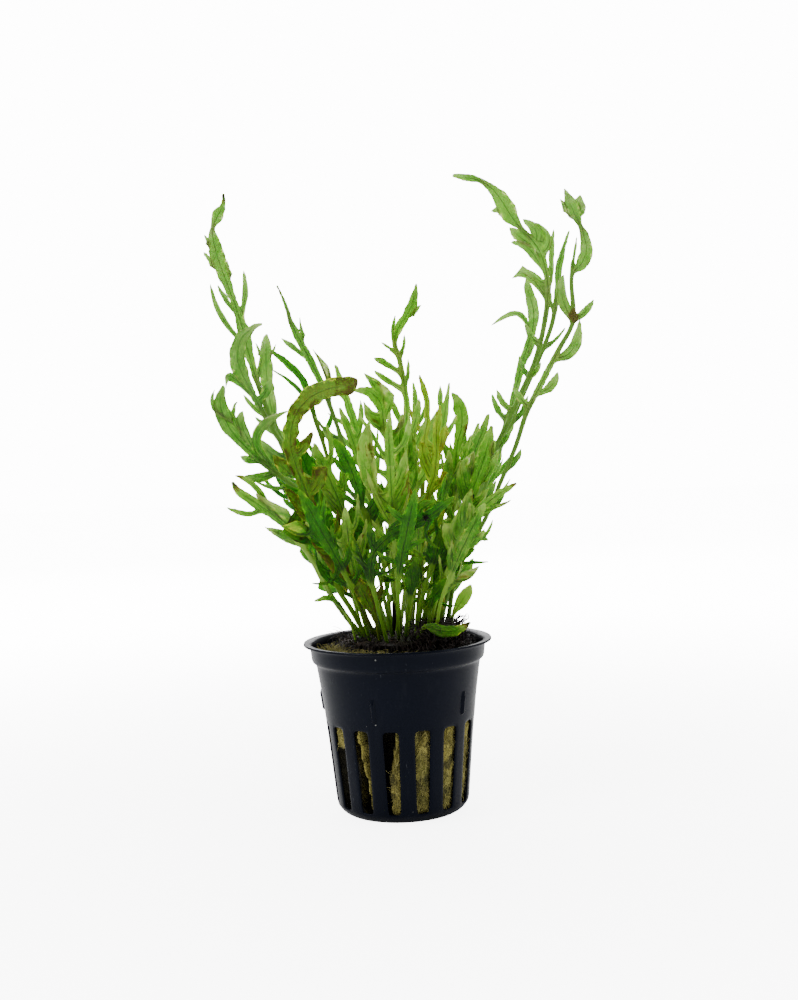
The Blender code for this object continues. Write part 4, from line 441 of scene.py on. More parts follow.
BROWNED = {  # places where a leaf has died back: (x, z) in the front view, reach, and how far it has gone
    "frond_tall_left": ((-45.2, 180.6, 4.5, 1.3),), "frond_outer_right": ((54.3, 141.4, 3.2, 0.75),),
    "frond_low_left": ((-46, 97.4, 5, 1.0),), "frond_slender_left": ((-30.9, 153.4, 5, 0.8),),
    "frond_over_rim": ((21.8, 53.8, 3.8, 1.2),), "frond_ovate_right": ((22.4, 110, 2.4, 0.6),),
    "frond_inner_left": ((-12.2, 94.8, 4, 0.5),),
    "frond_old_curled": ((-8.2, 124.6, 2.8, 1.0), (-22, 90, 5, 0.45)),
    "frond_pale_right": ((30.2, 140, 2.2, 0.8),), "frond_dark_left": ((-20.4, 86, 4, 0.5),),
    "frond_short_olive": ((-11.6, 68.6, 3, 0.6),), "frond_front_right": ((36.2, 93.6, 2.6, 0.9),),
}
WITHERED = [  # dead scraps caught on the leaves: frond, (x, z) in the front view, size
    ("frond_arching_front", (5.2, 82.2), 2.1), ("frond_arching_front", (9.4, 84.4), 1.2),
    ("frond_light_right", (22.4, 90.0), 1.6), ("frond_light_fan", (-0.6, 87.0), 1.5),
]
SHREDS = 44                   # to each scrap

OUTER_LEAVES = {"frond_tall_left", "frond_curled_left", "frond_pale_left", "frond_reaching_left",
                "frond_tall_right", "frond_outer_right", "frond_pale_right", "frond_thin_right",
                "frond_slender_left"}
YOUNG_LEAVES = {"frond_young_right"}
GREEN_ALL_OVER = {"frond_over_rim"}
YELLOW_LEAVES = {"frond_olive_strap", "frond_yellow_right", "sheath_old_yellow"}
OLD_LEAVES = YELLOW_LEAVES | {"frond_old_curled", "frond_short_olive"}
DARK_LEAVES = {"frond_dark_left", "frond_middle_left", "frond_back_left", "frond_arching_front",
               "frond_heart_leaf", "frond_three_corner", "frond_over_rim", "frond_dark_stalk_tall",
               "frond_dark_stalk_low", "frond_front_left", "frond_inner_left", "frond_low_back",
               "frond_low_front", "frond_low_back_left"}
DEAD_LEAVES = {"stalk_dead_black"}
SHOWN_NAMES = {"sheath_old_yellow": "old_yellow_sheath", "stalk_dead_black": "dead_black_stalk"}

LEAF_INPUTS = ("Low colour", "High colour", "Tip colour", "Vein colour", "Rib colour", "Edge colour",
               "Blotch colour", "Stalk colour", "Veins", "Blotches", "Edges", "Low height", "High height",
               "Coolness")
LEAF_KINDS = {  # what the leaf tissue is given, in the order of LEAF_INPUTS
    "leaf_outer": ((0.040, 0.130, 0.010), (0.155, 0.285, 0.036), (0.33, 0.45, 0.13), (0.33, 0.46, 0.12),
                   (0.018, 0.035, 0.006), (0.045, 0.10, 0.010), (0.09, 0.055, 0.008), (0.105, 0.235, 0.026),
                   0.34, 0.11, 0.45, 0.085, 0.15, 0.3),
    "leaf_light": ((0.040, 0.13, 0.005), (0.15, 0.31, 0.016), (0.33, 0.44, 0.08), (0.33, 0.46, 0.07),
                   (0.014, 0.032, 0.003), (0.035, 0.08, 0.003), (0.11, 0.055, 0.004), (0.18, 0.33, 0.035),
                   0.3, 0.17, 0.4, 0.07, 0.118, 0.35),
    "leaf_young": ((0.13, 0.29, 0.010), (0.22, 0.385, 0.028), (0.36, 0.49, 0.08), (0.36, 0.50, 0.07),
                   (0.045, 0.09, 0.005), (0.07, 0.13, 0.006), (0.11, 0.055, 0.004), (0.12, 0.245, 0.016),
                   0.3, 0.12, 0.4, 0.02, 0.05, 0.05),
    "leaf_dark": ((0.006, 0.036, 0.0), (0.020, 0.108, 0.0), (0.075, 0.19, 0.003), (0.065, 0.19, 0.001),
                  (0.005, 0.014, 0.0), (0.007, 0.024, 0.0), (0.018, 0.010, 0.001), (0.09, 0.20, 0.010),
                  0.3, 0.17, 0.45, 0.062, 0.112, 0.2),
    "leaf_yellow": ((0.06, 0.15, 0.002), (0.24, 0.34, 0.006), (0.26, 0.26, 0.012), (0.36, 0.44, 0.02),
                    (0.035, 0.028, 0.005), (0.07, 0.07, 0.004), (0.13, 0.055, 0.004), (0.09, 0.15, 0.004),
                    0.3, 0.24, 0.4, 0.07, 0.12, 0.1),
    "leaf_old": ((0.035, 0.095, 0.003), (0.12, 0.18, 0.005), (0.085, 0.065, 0.006), (0.2, 0.25, 0.012),
                 (0.026, 0.018, 0.004), (0.035, 0.026, 0.004), (0.055, 0.028, 0.004), (0.06, 0.09, 0.004),
                 0.4, 0.36, 0.3, 0.07, 0.12, 0.1),
    "leaf_dead": ((0.006, 0.004, 0.002), (0.022, 0.013, 0.006), (0.022, 0.012, 0.005), (0.03, 0.018, 0.009),
                  (0.003, 0.002, 0.0015), (0.004, 0.003, 0.002), (0.006, 0.004, 0.002), (0.004, 0.003, 0.002),
                  0.3, 0.4, 0.3, 0.06, 0.12, 0.0),
}

# Studio, in metres and degrees
CAMERA_PLACE = (0.002, -0.350, 0.101)
CAMERA_DOWN, CAMERA_ROLL = 1.8, -2.18
CAMERA_LENS = 43.38
LAMPS = [  # name, place, what it points at, (width, height), power
    ("key", (-0.55, -0.35, 0.55), (0, 0, 0.09), (0.35, 0.5), 5.5),
    ("fill", (0.75, -0.25, 0.35), (0, 0, 0.08), (0.2, 0.5), 3.1),
    ("back", (-0.1, 0.75, 0.5), (0, 0, 0.11), (0.9, 0.6), 9),
    ("top", (0.05, 0.0, 0.8), (0, 0, 0.1), (0.5, 0.5), 4),
]


def around(radius, azimuth, z):
    """The point at this distance from the pot's axis."""
    turn = math.radians(azimuth)
    return Vector((radius * math.sin(turn), -radius * math.cos(turn), z))


def azimuth_of(co):
    return math.degrees(math.atan2(co.x, -co.y))


def smooth_step(a, b, x):
    t = min(1.0, max(0.0, (x - a) / (b - a)))
    return t * t * (3 - 2 * t)


def face_radius(z):
    """Radius of the pot's outer face at a height."""
    for (r0, z0), (r1, z1) in zip(POT_FACE, POT_FACE[1:]):
        if z <= z1:
            return r0 + (r1 - r0) * (z - z0) / (z1 - z0) if z1 > z0 else r1
    return POT_FACE[-1][0]


def slot_offset(co):
    """The angle between a place and the middle of the nearest slot."""
    return (azimuth_of(co) - SLOT_FIRST + SLOT_PITCH / 2) % SLOT_PITCH - SLOT_PITCH / 2


def from_tuft(azimuth):
    """The angle between an azimuth and the middle of the tuft."""
    return abs((azimuth - TUFT_AZIMUTH + 180) % 360 - 180)


def tuft_rise(azimuth, radius):
    """How high the wool stands up at a place of its top."""
    beside = 1 - smooth_step(TUFT_HALF * 0.55, TUFT_HALF, from_tuft(azimuth))
    return TUFT_RISE * beside * smooth_step(*TUFT_SLOPE, radius)


def clumped(spot):
    """What share of its rise the tuft has at a spot, given in metres."""
    return 0.62 + 0.75 * noise.noise(spot * 330)


def crown_height(x, y):
    """Height of the rootstock's top at a place, or of its rim outside it."""
    inside = 1 - ((x - CROWN[0]) / CROWN_HALF[0]) ** 2 - ((y - CROWN[1]) / CROWN_HALF[1]) ** 2
    return CROWN[2] + CROWN_HALF[2] * math.sqrt(max(0.0, inside))


def in_space(x, z, y):
    """The point at depth y that the front view shows at (x, z)."""
    k = (VIEW_FAR + y) / VIEW_FAR
    return Vector((VIEW_X + (x - VIEW_X) * k, y, VIEW_Z + (z - VIEW_Z) * k))


def seen_at(point):
    """Where the front view shows a point."""
    k = (VIEW_FAR + point[1]) / VIEW_FAR
    return VIEW_X + (point[0] - VIEW_X) / k, VIEW_Z + (point[2] - VIEW_Z) / k


def catmull(a, b, c, d, t):
    return tuple(0.5 * (2 * q + (r - p) * t + (2 * p - 5 * q + 4 * r - s) * t * t
                        + (3 * q - p - 3 * r + s) * t ** 3) for p, q, r, s in zip(a, b, c, d))


class Route:
    """A frond's midrib: a smooth curve through its points, with width, depth and turn along it."""

    FINE = 10

    def __init__(self, name, spec):
        self.sway = random.Random(name).uniform(-SWAY, SWAY) * min(1.0, (spec["route"][-1][1] - 50) / 60)
        foot_x, foot_y = spec["foot"]
        foot = seen_at((foot_x, foot_y, crown_height(foot_x, foot_y) + FOOT_RISE))
        knots = [(*foot, spec["route"][0][2])] + list(spec["route"])
        ends = [knots[0]] + knots + [knots[-1]]
        self.line = [catmull(*four, i / self.FINE) for four in zip(ends, ends[1:], ends[2:], ends[3:])
                     for i in range(self.FINE)] + [knots[-1]]
        self.at = [0.0]
        for p, q in zip(self.line, self.line[1:]):
            self.at.append(self.at[-1] + math.hypot(q[0] - p[0], q[1] - p[1]))
        self.length = self.at[-1]
        self.depth = (foot_y,) + spec["depth"]
        self.turn = spec["turn"]

    def flat(self, d):
        """(x, z, width) in the front view at distance d along the route."""
        d = min(max(d, 0.0), self.length)
        i = 0
        while i < len(self.at) - 2 and self.at[i + 1] < d:
            i += 1
        span = self.at[i + 1] - self.at[i] or 1.0
        t = (d - self.at[i]) / span
        return [a + (b - a) * t for a, b in zip(self.line[i], self.line[i + 1])]

    def deep(self, d):
        u = d / self.length
        a, b, c = self.depth
        return a * (1 - u) ** 2 + 2 * b * u * (1 - u) + c * u * u + self.sway * math.sin(2 * math.pi * u)

    def lean(self, d):
        """The blade's turn about its midrib, in radians, at distance d."""
        share = d / self.length
        return math.radians(self.turn[0] + (self.turn[1] - self.turn[0]) * share)

    def half_width(self, d):
        """Half the blade's true width: the front view shows it narrower where it is turned."""
        return max(0.25, self.flat(d)[2] / 2 / max(0.7, math.cos(self.lean(d))))

    def point(self, d):
        x, z, _ = self.flat(d)
        return in_space(x, z, self.deep(d))

    def along(self, d):
        return (self.point(min(d + 0.6, self.length)) - self.point(max(d - 0.6, 0.0))).normalized()

    def across(self, d):
        """The blade's left-hand direction, turned about the midrib."""
        run = self.along(d)
        left = run.cross(Vector((0, 1, 0))).normalized()
        angle = self.lean(d)
        return left * math.cos(angle) + run.cross(left) * math.sin(angle)

    def nearest(self, x, z):
        best = min(range(len(self.line)), key=lambda i: math.dist(self.line[i][:2], (x, z)))
        return self.at[best]

    def lobe_point(self, d, x, z):
        """The point in the blade's plane, near the midrib's point d, that the front view shows at (x, z)."""
        x0, z0, _ = self.flat(d)
        run = self.along(d)
        left = run.cross(Vector((0, 1, 0))).normalized()
        offset = Vector((x - x0, 0, z - z0))
        flat_run = Vector((run.x, 0, run.z))
        forward = offset.dot(flat_run) / max(flat_run.length, 0.3) ** 2
        y = self.deep(d) + forward * run.y - offset.dot(left) * math.tan(self.lean(d))
        return in_space(x, z, y)

    def reach_out(self, d, spread, reach):
        """Where a lobe ends in the front view that leaves the midrib at d with this spread and reach."""
        x, z, _ = self.flat(d)
        x1, z1, _ = self.flat(d + 1)
        heading = math.atan2(z1 - z, x1 - x) + math.radians(spread)
        return x + reach * math.cos(heading), z + reach * math.sin(heading)


def bowed(x, z, tip, curve):
    """The middle point of a lobe that bends a little to one side."""
    return (x + tip[0]) / 2 - curve * (tip[1] - z), (z + tip[1]) / 2 + curve * (tip[0] - x)


def lobes_of(name, spec, route):
    """Every lobe as (distance along, side, middle point, tip, width); side is +1 on the left."""
    rows = []
    for row in spec.get("lobes", ()):
        middle = row[2:4] if len(row) == 7 else None
        rows.append((route.nearest(*row[:2]), middle, row[-3:-1], row[-1]))
    if "fill" in spec:
        start, stop, count, length, width = spec["fill"]
        dice = random.Random(name)
        for k in range(count):
            share = start + (stop - start) * (k + dice.uniform(-0.2, 0.2)) / max(count - 1, 1)
            d = share * route.length
            side = 1 if k % 2 else -1
            tip = route.reach_out(d, side * dice.uniform(22, 38), length * dice.uniform(0.8, 1.15))
            rows.append((d, None, tip, width))
    done = []
    for d, middle, tip, width in sorted(rows, key=lambda row: row[0]):
        x, z, _ = route.flat(d)
        x1, z1, _ = route.flat(d + 1)
        x0, z0, _ = route.flat(d - 1)
        side = 1 if (x1 - x0) * (tip[1] - z) - (z1 - z0) * (tip[0] - x) > 0 else -1
        done.append((d, side, middle or bowed(x, z, tip, 0.1 * side), tip, width))
    return done


def extra_lobes(name, route):
    """Narrow lobes that fill the thick of the plant, between the named ones."""
    start, stop, count, length, width = EXTRA.get(name, (0, 0, 0, 0, 0))
    dice = random.Random(name + "extra")
    rows = []
    for k in range(count):
        d = (start + (stop - start) * (k + dice.uniform(-0.3, 0.3)) / max(count - 1, 1)) * route.length
        x, z, _ = route.flat(d)
        side = 1 if k % 2 else -1
        droop = name in DARK_LEAVES and dice.random() < 0.35
        spread = dice.uniform(60, 110) if droop else dice.uniform(14, 46)
        tip = route.reach_out(d, side * spread, length * dice.uniform(0.75, 1.45))
        curve = 0.26 if droop else dice.uniform(0.05, 0.24)
        rows.append((d, side, bowed(x, z, tip, side * curve), tip, width * dice.uniform(0.65, 1.05)))
    return rows


class Nodes:
    """A node tree with short ways to add a node and to join sockets."""

    def __init__(self, tree):
        self.tree = tree

    def add(self, kind, **values):
        node = self.tree.nodes.new("ShaderNode" + kind)
        for key, value in values.items():
            if hasattr(node, key):
                setattr(node, key, value)
            else:
                self.set(node.inputs[key.replace("_", " ")], value)
        return node

    def set(self, socket, value):
        if isinstance(value, bpy.types.NodeSocket):
            self.tree.links.new(value, socket)
        else:
            socket.default_value = value

    def maths(self, operation, a, b=0.0, clamp=False):
        node = self.add("Math", operation=operation, use_clamp=clamp)
        self.set(node.inputs[0], a)
        self.set(node.inputs[1], b)
        return node.outputs[0]

    def plus(self, a, b, clamp=False):
        return self.maths("ADD", a, b, clamp)

    def minus(self, a, b, clamp=False):
        return self.maths("SUBTRACT", a, b, clamp)

    def times(self, a, b):
        return self.maths("MULTIPLY", a, b)

    def ramp(self, value, low, high, to_low=0.0, to_high=1.0, kind="SMOOTHSTEP"):
        return self.add("MapRange", interpolation_type=kind, Value=value, From_Min=low, From_Max=high,
                        To_Min=to_low, To_Max=to_high).outputs["Result"]

    def mix(self, share, a, b, blend="MIX"):
        node = self.add("Mix", data_type="RGBA", blend_type=blend)
        for socket, value in zip((node.inputs[0], node.inputs[6], node.inputs[7]), (share, a, b)):
            self.set(socket, (*value, 1) if isinstance(value, tuple) else value)
        return node.outputs[2]

    def noise(self, where, scale, detail=3.0, rough=0.5, distortion=0.0):
        return self.add("TexNoise", Vector=where, Scale=scale, Detail=detail, Roughness=rough,
                        Distortion=distortion).outputs[0]

    def spots(self, where, scale, **values):
        return self.add("TexVoronoi", Vector=where, Scale=scale, **values).outputs["Distance"]

    def stretch(self, where, scale):
        return self.add("Mapping", Vector=where, Scale=scale).outputs[0]

    def place(self):
        return self.add("TexCoord").outputs["Object"]

    def height(self, place):
        return self.add("SeparateXYZ", Vector=place).outputs["Z"]

    def fact(self, name):
        """What the mesh says of itself in an attribute."""
        return self.add("Attribute", attribute_name=name).outputs["Fac"]


def effect(name, inputs, outputs):
    """A shader node group with named sockets: its Nodes, its inputs and its outputs."""
    group = bpy.data.node_groups.new(name, "ShaderNodeTree")
    for label, value in inputs.items():
        kind = "NodeSocketColor" if isinstance(value, tuple) else "NodeSocketFloat"
        socket = group.interface.new_socket(label, in_out="INPUT", socket_type=kind)
        socket.default_value = (*value, 1) if isinstance(value, tuple) else value
    for label, kind in outputs.items():
        group.interface.new_socket(label, in_out="OUTPUT", socket_type="NodeSocket" + kind)
    start = group.nodes.new("NodeGroupInput")
    end = group.nodes.new("NodeGroupOutput")
    return Nodes(group), start.outputs, end.inputs


def leaf_tissue():
    """Colour, gloss and relief of a fern blade: cells, veins, midrib, margins, tips, stalk and blotches."""
    n, take, give = effect("leaf tissue", dict(zip(LEAF_INPUTS, LEAF_KINDS["leaf_light"])),
                           {"Color": "Color", "Roughness": "Float", "Height": "Float"})
    place = n.place()
    sheet = n.add("UVMap", uv_map="UVMap").outputs[0]
    across = n.add("SeparateXYZ", Vector=sheet).outputs["X"]
    height = n.height(place)
    edge, tip, stalk, tint = (n.fact(name) for name in ("edge", "tip", "stalk_share", "tint"))

    # lighter higher up: partly painted shade that darkens the low heart of the plant, partly the leaves' own
    # tone; and lighter on the lobes that came out light
    patch = n.noise(place, 90.0, 3.0, 0.55)
    rise = n.ramp(n.plus(height, n.times(n.minus(patch, 0.5), 0.05)), take["Low height"], take["High height"])
    rise = n.plus(rise, n.times(n.minus(tint, 0.6), 0.9), clamp=True)
    colour = n.mix(rise, take["Low colour"], take["High colour"])
    cool = n.ramp(n.noise(place, 62.0, 2.0, 0.5, 0.5), 0.5, 0.62)
    colour = n.mix(n.times(cool, take["Coolness"]), colour, (0.02, 0.115, 0.010))
    colour = n.mix(n.times(n.ramp(tip, 0.45, 1.0), 0.6), colour, take["Tip colour"])
    # long fine veins that wander and part, seen paler against the light
    flow = n.noise(n.stretch(sheet, (1.9, 0.16, 1)), 1.0, 3.0, 0.6, 0.35)
    lines = n.maths("SINE", n.plus(n.times(across, 15.0), n.times(flow, 22)))
    veins = n.times(n.ramp(lines, 0.2, 0.95), n.ramp(edge, 0.98, 0.7))
    colour = n.mix(n.times(veins, take["Veins"]), colour, take["Vein colour"])
    cells = n.spots(n.stretch(sheet, (2.6, 1.0, 1)), 1.6, feature="DISTANCE_TO_EDGE")
    cell_line = n.ramp(cells, 0.0, 0.12, 1.0, 0.0)
    colour = n.mix(n.times(cell_line, 0.12), colour, take["Edge colour"])
    mottle = n.noise(place, 620.0, 4.0, 0.6)
    colour = n.mix(0.35, colour, n.mix(mottle, (0.32, 0.36, 0.3), (1.0, 1.0, 0.9)), "SOFT_LIGHT")
    # paler patches painted in as highlights and as light shining through thin tissue, more of them higher up
    # where the light falls; darker ones where the tissue is dense
    thin = n.ramp(n.noise(place, 210.0, 4.0, 0.6, 0.4), 0.53, 0.66)
    thin = n.times(thin, n.times(n.maths("MAXIMUM", rise, 0.45), 0.55))
    colour = n.mix(thin, colour, take["Tip colour"])
    dense = n.ramp(n.noise(place, 160.0, 3.0, 0.6), 0.52, 0.64)
    colour = n.mix(n.times(dense, 0.35), colour, take["Low colour"])
    # damage: brown blotches, mostly at the margin and the tips, and small specks
    spoil = n.plus(n.noise(place, 140.0, 5.0, 0.65, 0.6), n.plus(n.times(edge, 0.14), n.times(tip, 0.16)))
    spoilt = n.ramp(spoil, n.minus(0.95, take["Blotches"]), n.minus(1.06, take["Blotches"]))
    colour = n.mix(n.times(spoilt, 0.8), colour, take["Blotch colour"])
    dots = n.ramp(n.spots(place, 520.0), 0.1, 0.17, 1.0, 0.0)
    few = n.ramp(n.noise(place, 210.0), 0.6, 0.66)
    colour = n.mix(n.times(n.times(dots, few), 0.3), colour, take["Blotch colour"])
    # margin, midrib and stalk
    broken = n.ramp(n.noise(place, 330.0), 0.42, 0.62, 0.15, 1.0)
    rim = n.times(n.ramp(edge, 0.78, 0.99), n.times(take["Edges"], broken))
    colour = n.mix(rim, colour, take["Edge colour"])
    middle = n.ramp(n.maths("ABSOLUTE", across), 0.09, 0.26, 1.0, 0.0)
    rib = n.times(middle, n.ramp(tip, 0.1, 0.75, 1.0, 0.12))
    colour = n.mix(n.times(rib, 0.58), colour, take["Rib colour"])
    base = n.ramp(n.plus(height, n.times(patch, 0.016)), 0.056, 0.076, 1.0, 0.0)
    stem = n.mix(n.times(base, n.ramp(tint, 0.45, 0.75, 0.0, 0.45)), take["Stalk colour"], take["Rib colour"])
    streak = n.noise(n.stretch(sheet, (2.5, 0.35, 1)), 1.0)
    stem = n.mix(n.ramp(streak, 0.45, 0.7, 0.0, 0.25), stem, take["Rib colour"])
    colour = n.mix(n.ramp(stalk, 0.35, 0.8), colour, stem)
    # places that have died back, brown with a black heart
    browned = n.fact("browned")
    dying = n.plus(browned, n.times(n.minus(n.noise(place, 700.0), 0.5), 0.7))
    dying = n.times(dying, n.ramp(browned, 0.02, 0.2))
    colour = n.mix(n.ramp(dying, 0.2, 0.55, 0.0, 0.85), colour, take["Blotch colour"])
    colour = n.mix(n.ramp(dying, 0.7, 1.1, 0.0, 0.9), colour, (0.008, 0.005, 0.002))
    n.set(give["Color"], colour)
    n.set(give["Roughness"], n.plus(n.plus(0.38, n.times(mottle, 0.22)), n.times(spoilt, 0.3)))
    raised = n.plus(n.times(veins, 0.5), n.times(cell_line, -0.25))
    raised = n.plus(n.plus(raised, n.times(rib, 1.3)), n.times(mottle, 0.5))
    n.set(give["Height"], n.times(raised, n.plus(0.3, n.minus(1.0, stalk, clamp=True))))
    return n.tree


def matted_fibres():
    """Fine matted fibres: masks and a height from noise stretched in three directions."""
    n, take, give = effect("matted fibres", {"Scale": 900.0, "Stretch": 5.0},
                           {"Fibres": "Float", "Height": "Float", "Hollow shade": "Float"})
    place = n.place()
    bent = n.add("VectorMath", operation="MULTIPLY_ADD")
    n.set(bent.inputs[0], n.add("TexNoise", Vector=place, Scale=260.0, Detail=3.0).outputs["Color"])
    bent.inputs[1].default_value = (0.004, 0.004, 0.004)
    n.set(bent.inputs[2], place)
    thinner = n.add("CombineXYZ", X=1.0, Y=1.0, Z=n.maths("DIVIDE", 1.0, take["Stretch"])).outputs[0]
    total = None
    for turn in (0.5, -0.7, 1.6):
        spin = n.add("VectorRotate", rotation_type="EULER_XYZ", Vector=bent.outputs[0],
                     Rotation=(turn, turn * 0.7, turn * 1.3))
        pull = n.add("VectorMath", operation="MULTIPLY")
        n.set(pull.inputs[0], spin.outputs[0])
        n.set(pull.inputs[1], thinner)
        strands = n.ramp(n.noise(pull.outputs[0], take["Scale"], 2.0, 0.5), 0.5, 0.66)
        total = strands if total is None else n.maths("MAXIMUM", total, strands)
    # the hollows between the fibres: sunk in the height, and darkened in the wool as painted shade
    hollow_shade = n.ramp(n.noise(place, 210.0, 4.0, 0.6), 0.36, 0.5, 1.0, 0.0)
    n.set(give["Fibres"], total)
    n.set(give["Hollow shade"], hollow_shade)
    n.set(give["Height"], n.minus(total, hollow_shade))
    return n.tree


GROUPS = {"leaf tissue": leaf_tissue(), "matted fibres": matted_fibres()}


def group_node(n, name, values):
    node = n.tree.nodes.new("ShaderNodeGroup")
    node.node_tree = GROUPS[name]
    for label, value in values.items():
        n.set(node.inputs[label], (*value, 1) if isinstance(value, tuple) else value)
    return node.outputs


def new_material(name, **constants):
    """A material, its Nodes and its shader's sockets, some of them set to a value."""
    made = bpy.data.materials.new(name)
    made.use_nodes = True
    sockets = made.node_tree.nodes["Principled BSDF"].inputs
    for label, value in constants.items():
        sockets[label.replace("_", " ")].default_value = value
    return made, Nodes(made.node_tree), sockets


def finish_with(n, sockets, colour, height, distance, strength):
    """Joins a material's colour and relief to its shader."""
    n.set(sockets["Base Color"], colour)
    bump = n.add("Bump", Height=height, Distance=distance, Strength=strength)
    n.set(sockets["Normal"], bump.outputs[0])


def leaf_material(kind):
    made, n, sockets = new_material(
        kind, IOR=1.3, Specular_IOR_Level=0.28, Subsurface_Weight=0.0 if kind == "leaf_dead" else 0.5,
        Subsurface_Radius=(0.5, 1.0, 0.2), Subsurface_Scale=0.0011)
    out = group_node(n, "leaf tissue", dict(zip(LEAF_INPUTS, LEAF_KINDS[kind])))
    n.set(sockets["Roughness"], out["Roughness"])
    finish_with(n, sockets, out["Color"], out["Height"], 0.00006, 0.8)
    return made


def plastic_material():
    """Satin black plastic with a blue cast: moulding grain, fine scratches and dried water specks."""
    made, n, sockets = new_material("black_plastic", IOR=1.18, Specular_IOR_Level=0.42,
                                    Specular_Tint=(0.72, 0.8, 1.0, 1))
    place = n.place()
    cloud = n.noise(place, 60.0, 4.0, 0.6)
    grain = n.noise(place, 5200.0, 2.0, 0.5)
    scuffs = n.noise(n.stretch(place, (1, 1, 0.06)), 2600.0, 3.0, 0.6, 0.8)
    scuffed = n.times(n.ramp(scuffs, 0.66, 0.74), n.ramp(n.noise(place, 95.0), 0.5, 0.62))
    dots = n.ramp(n.spots(place, 430.0), 0.07, 0.13, 1.0, 0.0)
    specked = n.times(dots, n.ramp(n.noise(place, 130.0, 2.0), 0.6, 0.68))
    film = n.ramp(n.noise(n.stretch(place, (1, 1, 0.35)), 240.0, 5.0, 0.65), 0.52, 0.75)
    colour = n.mix(cloud, (0.0012, 0.0015, 0.0034), (0.0022, 0.003, 0.0075))
    colour = n.mix(n.times(film, 0.1), colour, (0.03, 0.033, 0.04))
    colour = n.mix(n.times(scuffed, 0.45), colour, (0.1, 0.11, 0.125))
    colour = n.mix(n.times(specked, 0.7), colour, (0.5, 0.5, 0.47))
    rough = n.plus(0.24, n.times(cloud, 0.14))
    n.set(sockets["Roughness"], n.plus(rough, n.times(n.maths("MAXIMUM", scuffed, specked), 0.3)))
    height = n.plus(n.times(grain, 0.35), n.times(cloud, 1.2))
    finish_with(n, sockets, colour, n.minus(height, scuffed), 0.00004, 0.7)
    return made


def darker_above(n, place, colour, dark):
    """The wool and its threads are darker near the top of the pot."""
    return n.mix(n.ramp(n.height(place), 0.042, 0.0455, 0.0, 0.5), colour, dark)


def wool_material():
    """Mineral wool that has lain wet: olive yellow, browner in patches, with painted shade in its hollows and
    near black painted shade where it stands back from the slots.
    """
    made, n, sockets = new_material("mineral_wool", Roughness=0.92, Specular_IOR_Level=0.25)
    place = n.place()
    out = group_node(n, "matted fibres", {"Scale": 950.0, "Stretch": 6.0})
    patch = n.noise(place, 120.0, 5.0, 0.6)
    colour = n.mix(n.ramp(patch, 0.35, 0.65), (0.085, 0.072, 0.010), (0.245, 0.212, 0.044))
    colour = n.mix(n.ramp(n.noise(place, 70.0, 3.0), 0.5, 0.68, 0.0, 0.7), colour, (0.035, 0.045, 0.006))
    colour = n.mix(n.times(out["Fibres"], 0.4), colour, (0.33, 0.295, 0.085))
    # painted shade: the hollows between the fibres are darkened
    colour = n.mix(n.times(out["Hollow shade"], 0.85), colour, (0.03, 0.028, 0.008))
    colour = darker_above(n, place, colour, (0.03, 0.032, 0.006))
    # painted shade: near black where the wool stands back from the slots
    colour = n.mix(n.times(n.fact("hollow_shade"), 0.96), colour, (0.0025, 0.002, 0.0012))
    finish_with(n, sockets, colour, out["Height"], 0.0005, 1.0)
    return made


def thread_material(name, low, high, rough):
    """Single threads, each a little different along its length."""
    made, n, sockets = new_material(name, Roughness=rough, Specular_IOR_Level=0.35)
    place = n.place()
    colour = n.mix(n.ramp(n.noise(place, 420.0, 3.0, 0.6), 0.3, 0.7), low, high)
    colour = darker_above(n, place, colour, low)
    finish_with(n, sockets, colour, n.noise(place, 3000.0, 2.0), 0.00003, 0.6)
    return made


def felt_material():
    """Dark wet peat and root felt: near black, with brown crumbs and a little green film."""
    made, n, sockets = new_material("root_felt", Specular_IOR_Level=0.4)
    place = n.place()
    out = group_node(n, "matted fibres", {"Scale": 700.0, "Stretch": 4.0})
    crumbs = n.spots(place, 750.0)
    brown = n.ramp(n.noise(place, 160.0, 5.0, 0.65), 0.35, 0.65)
    colour = n.mix(brown, (0.003, 0.0022, 0.0016), (0.014, 0.009, 0.005))
    colour = n.mix(n.times(out["Fibres"], 0.5), colour, (0.03, 0.018, 0.009))
    colour = n.mix(n.ramp(n.noise(place, 85.0, 3.0), 0.6, 0.72, 0.0, 0.5), colour, (0.022, 0.034, 0.006))
    n.set(sockets["Roughness"], n.ramp(crumbs, 0.1, 0.6, 0.5, 0.95))
    finish_with(n, sockets, colour, n.minus(out["Height"], crumbs), 0.0006, 1.0)
    return made


def rootstock_material():
    """The creeping rootstock: dark brown bark with paler scars where stalks were."""
    made, n, sockets = new_material("rootstock", Specular_IOR_Level=0.4)
    place = n.place()
    bark = n.noise(n.stretch(place, (0.5, 1, 1)), 420.0, 5.0, 0.65, 0.4)
    scars = n.spots(place, 210.0)
    colour = n.mix(n.ramp(bark, 0.35, 0.65), (0.006, 0.004, 0.0025), (0.034, 0.019, 0.009))
    colour = n.mix(n.ramp(scars, 0.12, 0.2, 0.6, 0.0), colour, (0.055, 0.036, 0.016))
    colour = n.mix(n.ramp(n.noise(place, 95.0), 0.5, 0.66, 0.0, 0.6), colour, (0.02, 0.035, 0.004))
    n.set(sockets["Roughness"], n.ramp(bark, 0.3, 0.7, 0.55, 0.85))
    finish_with(n, sockets, colour, n.plus(bark, scars), 0.0005, 0.9)
    return made


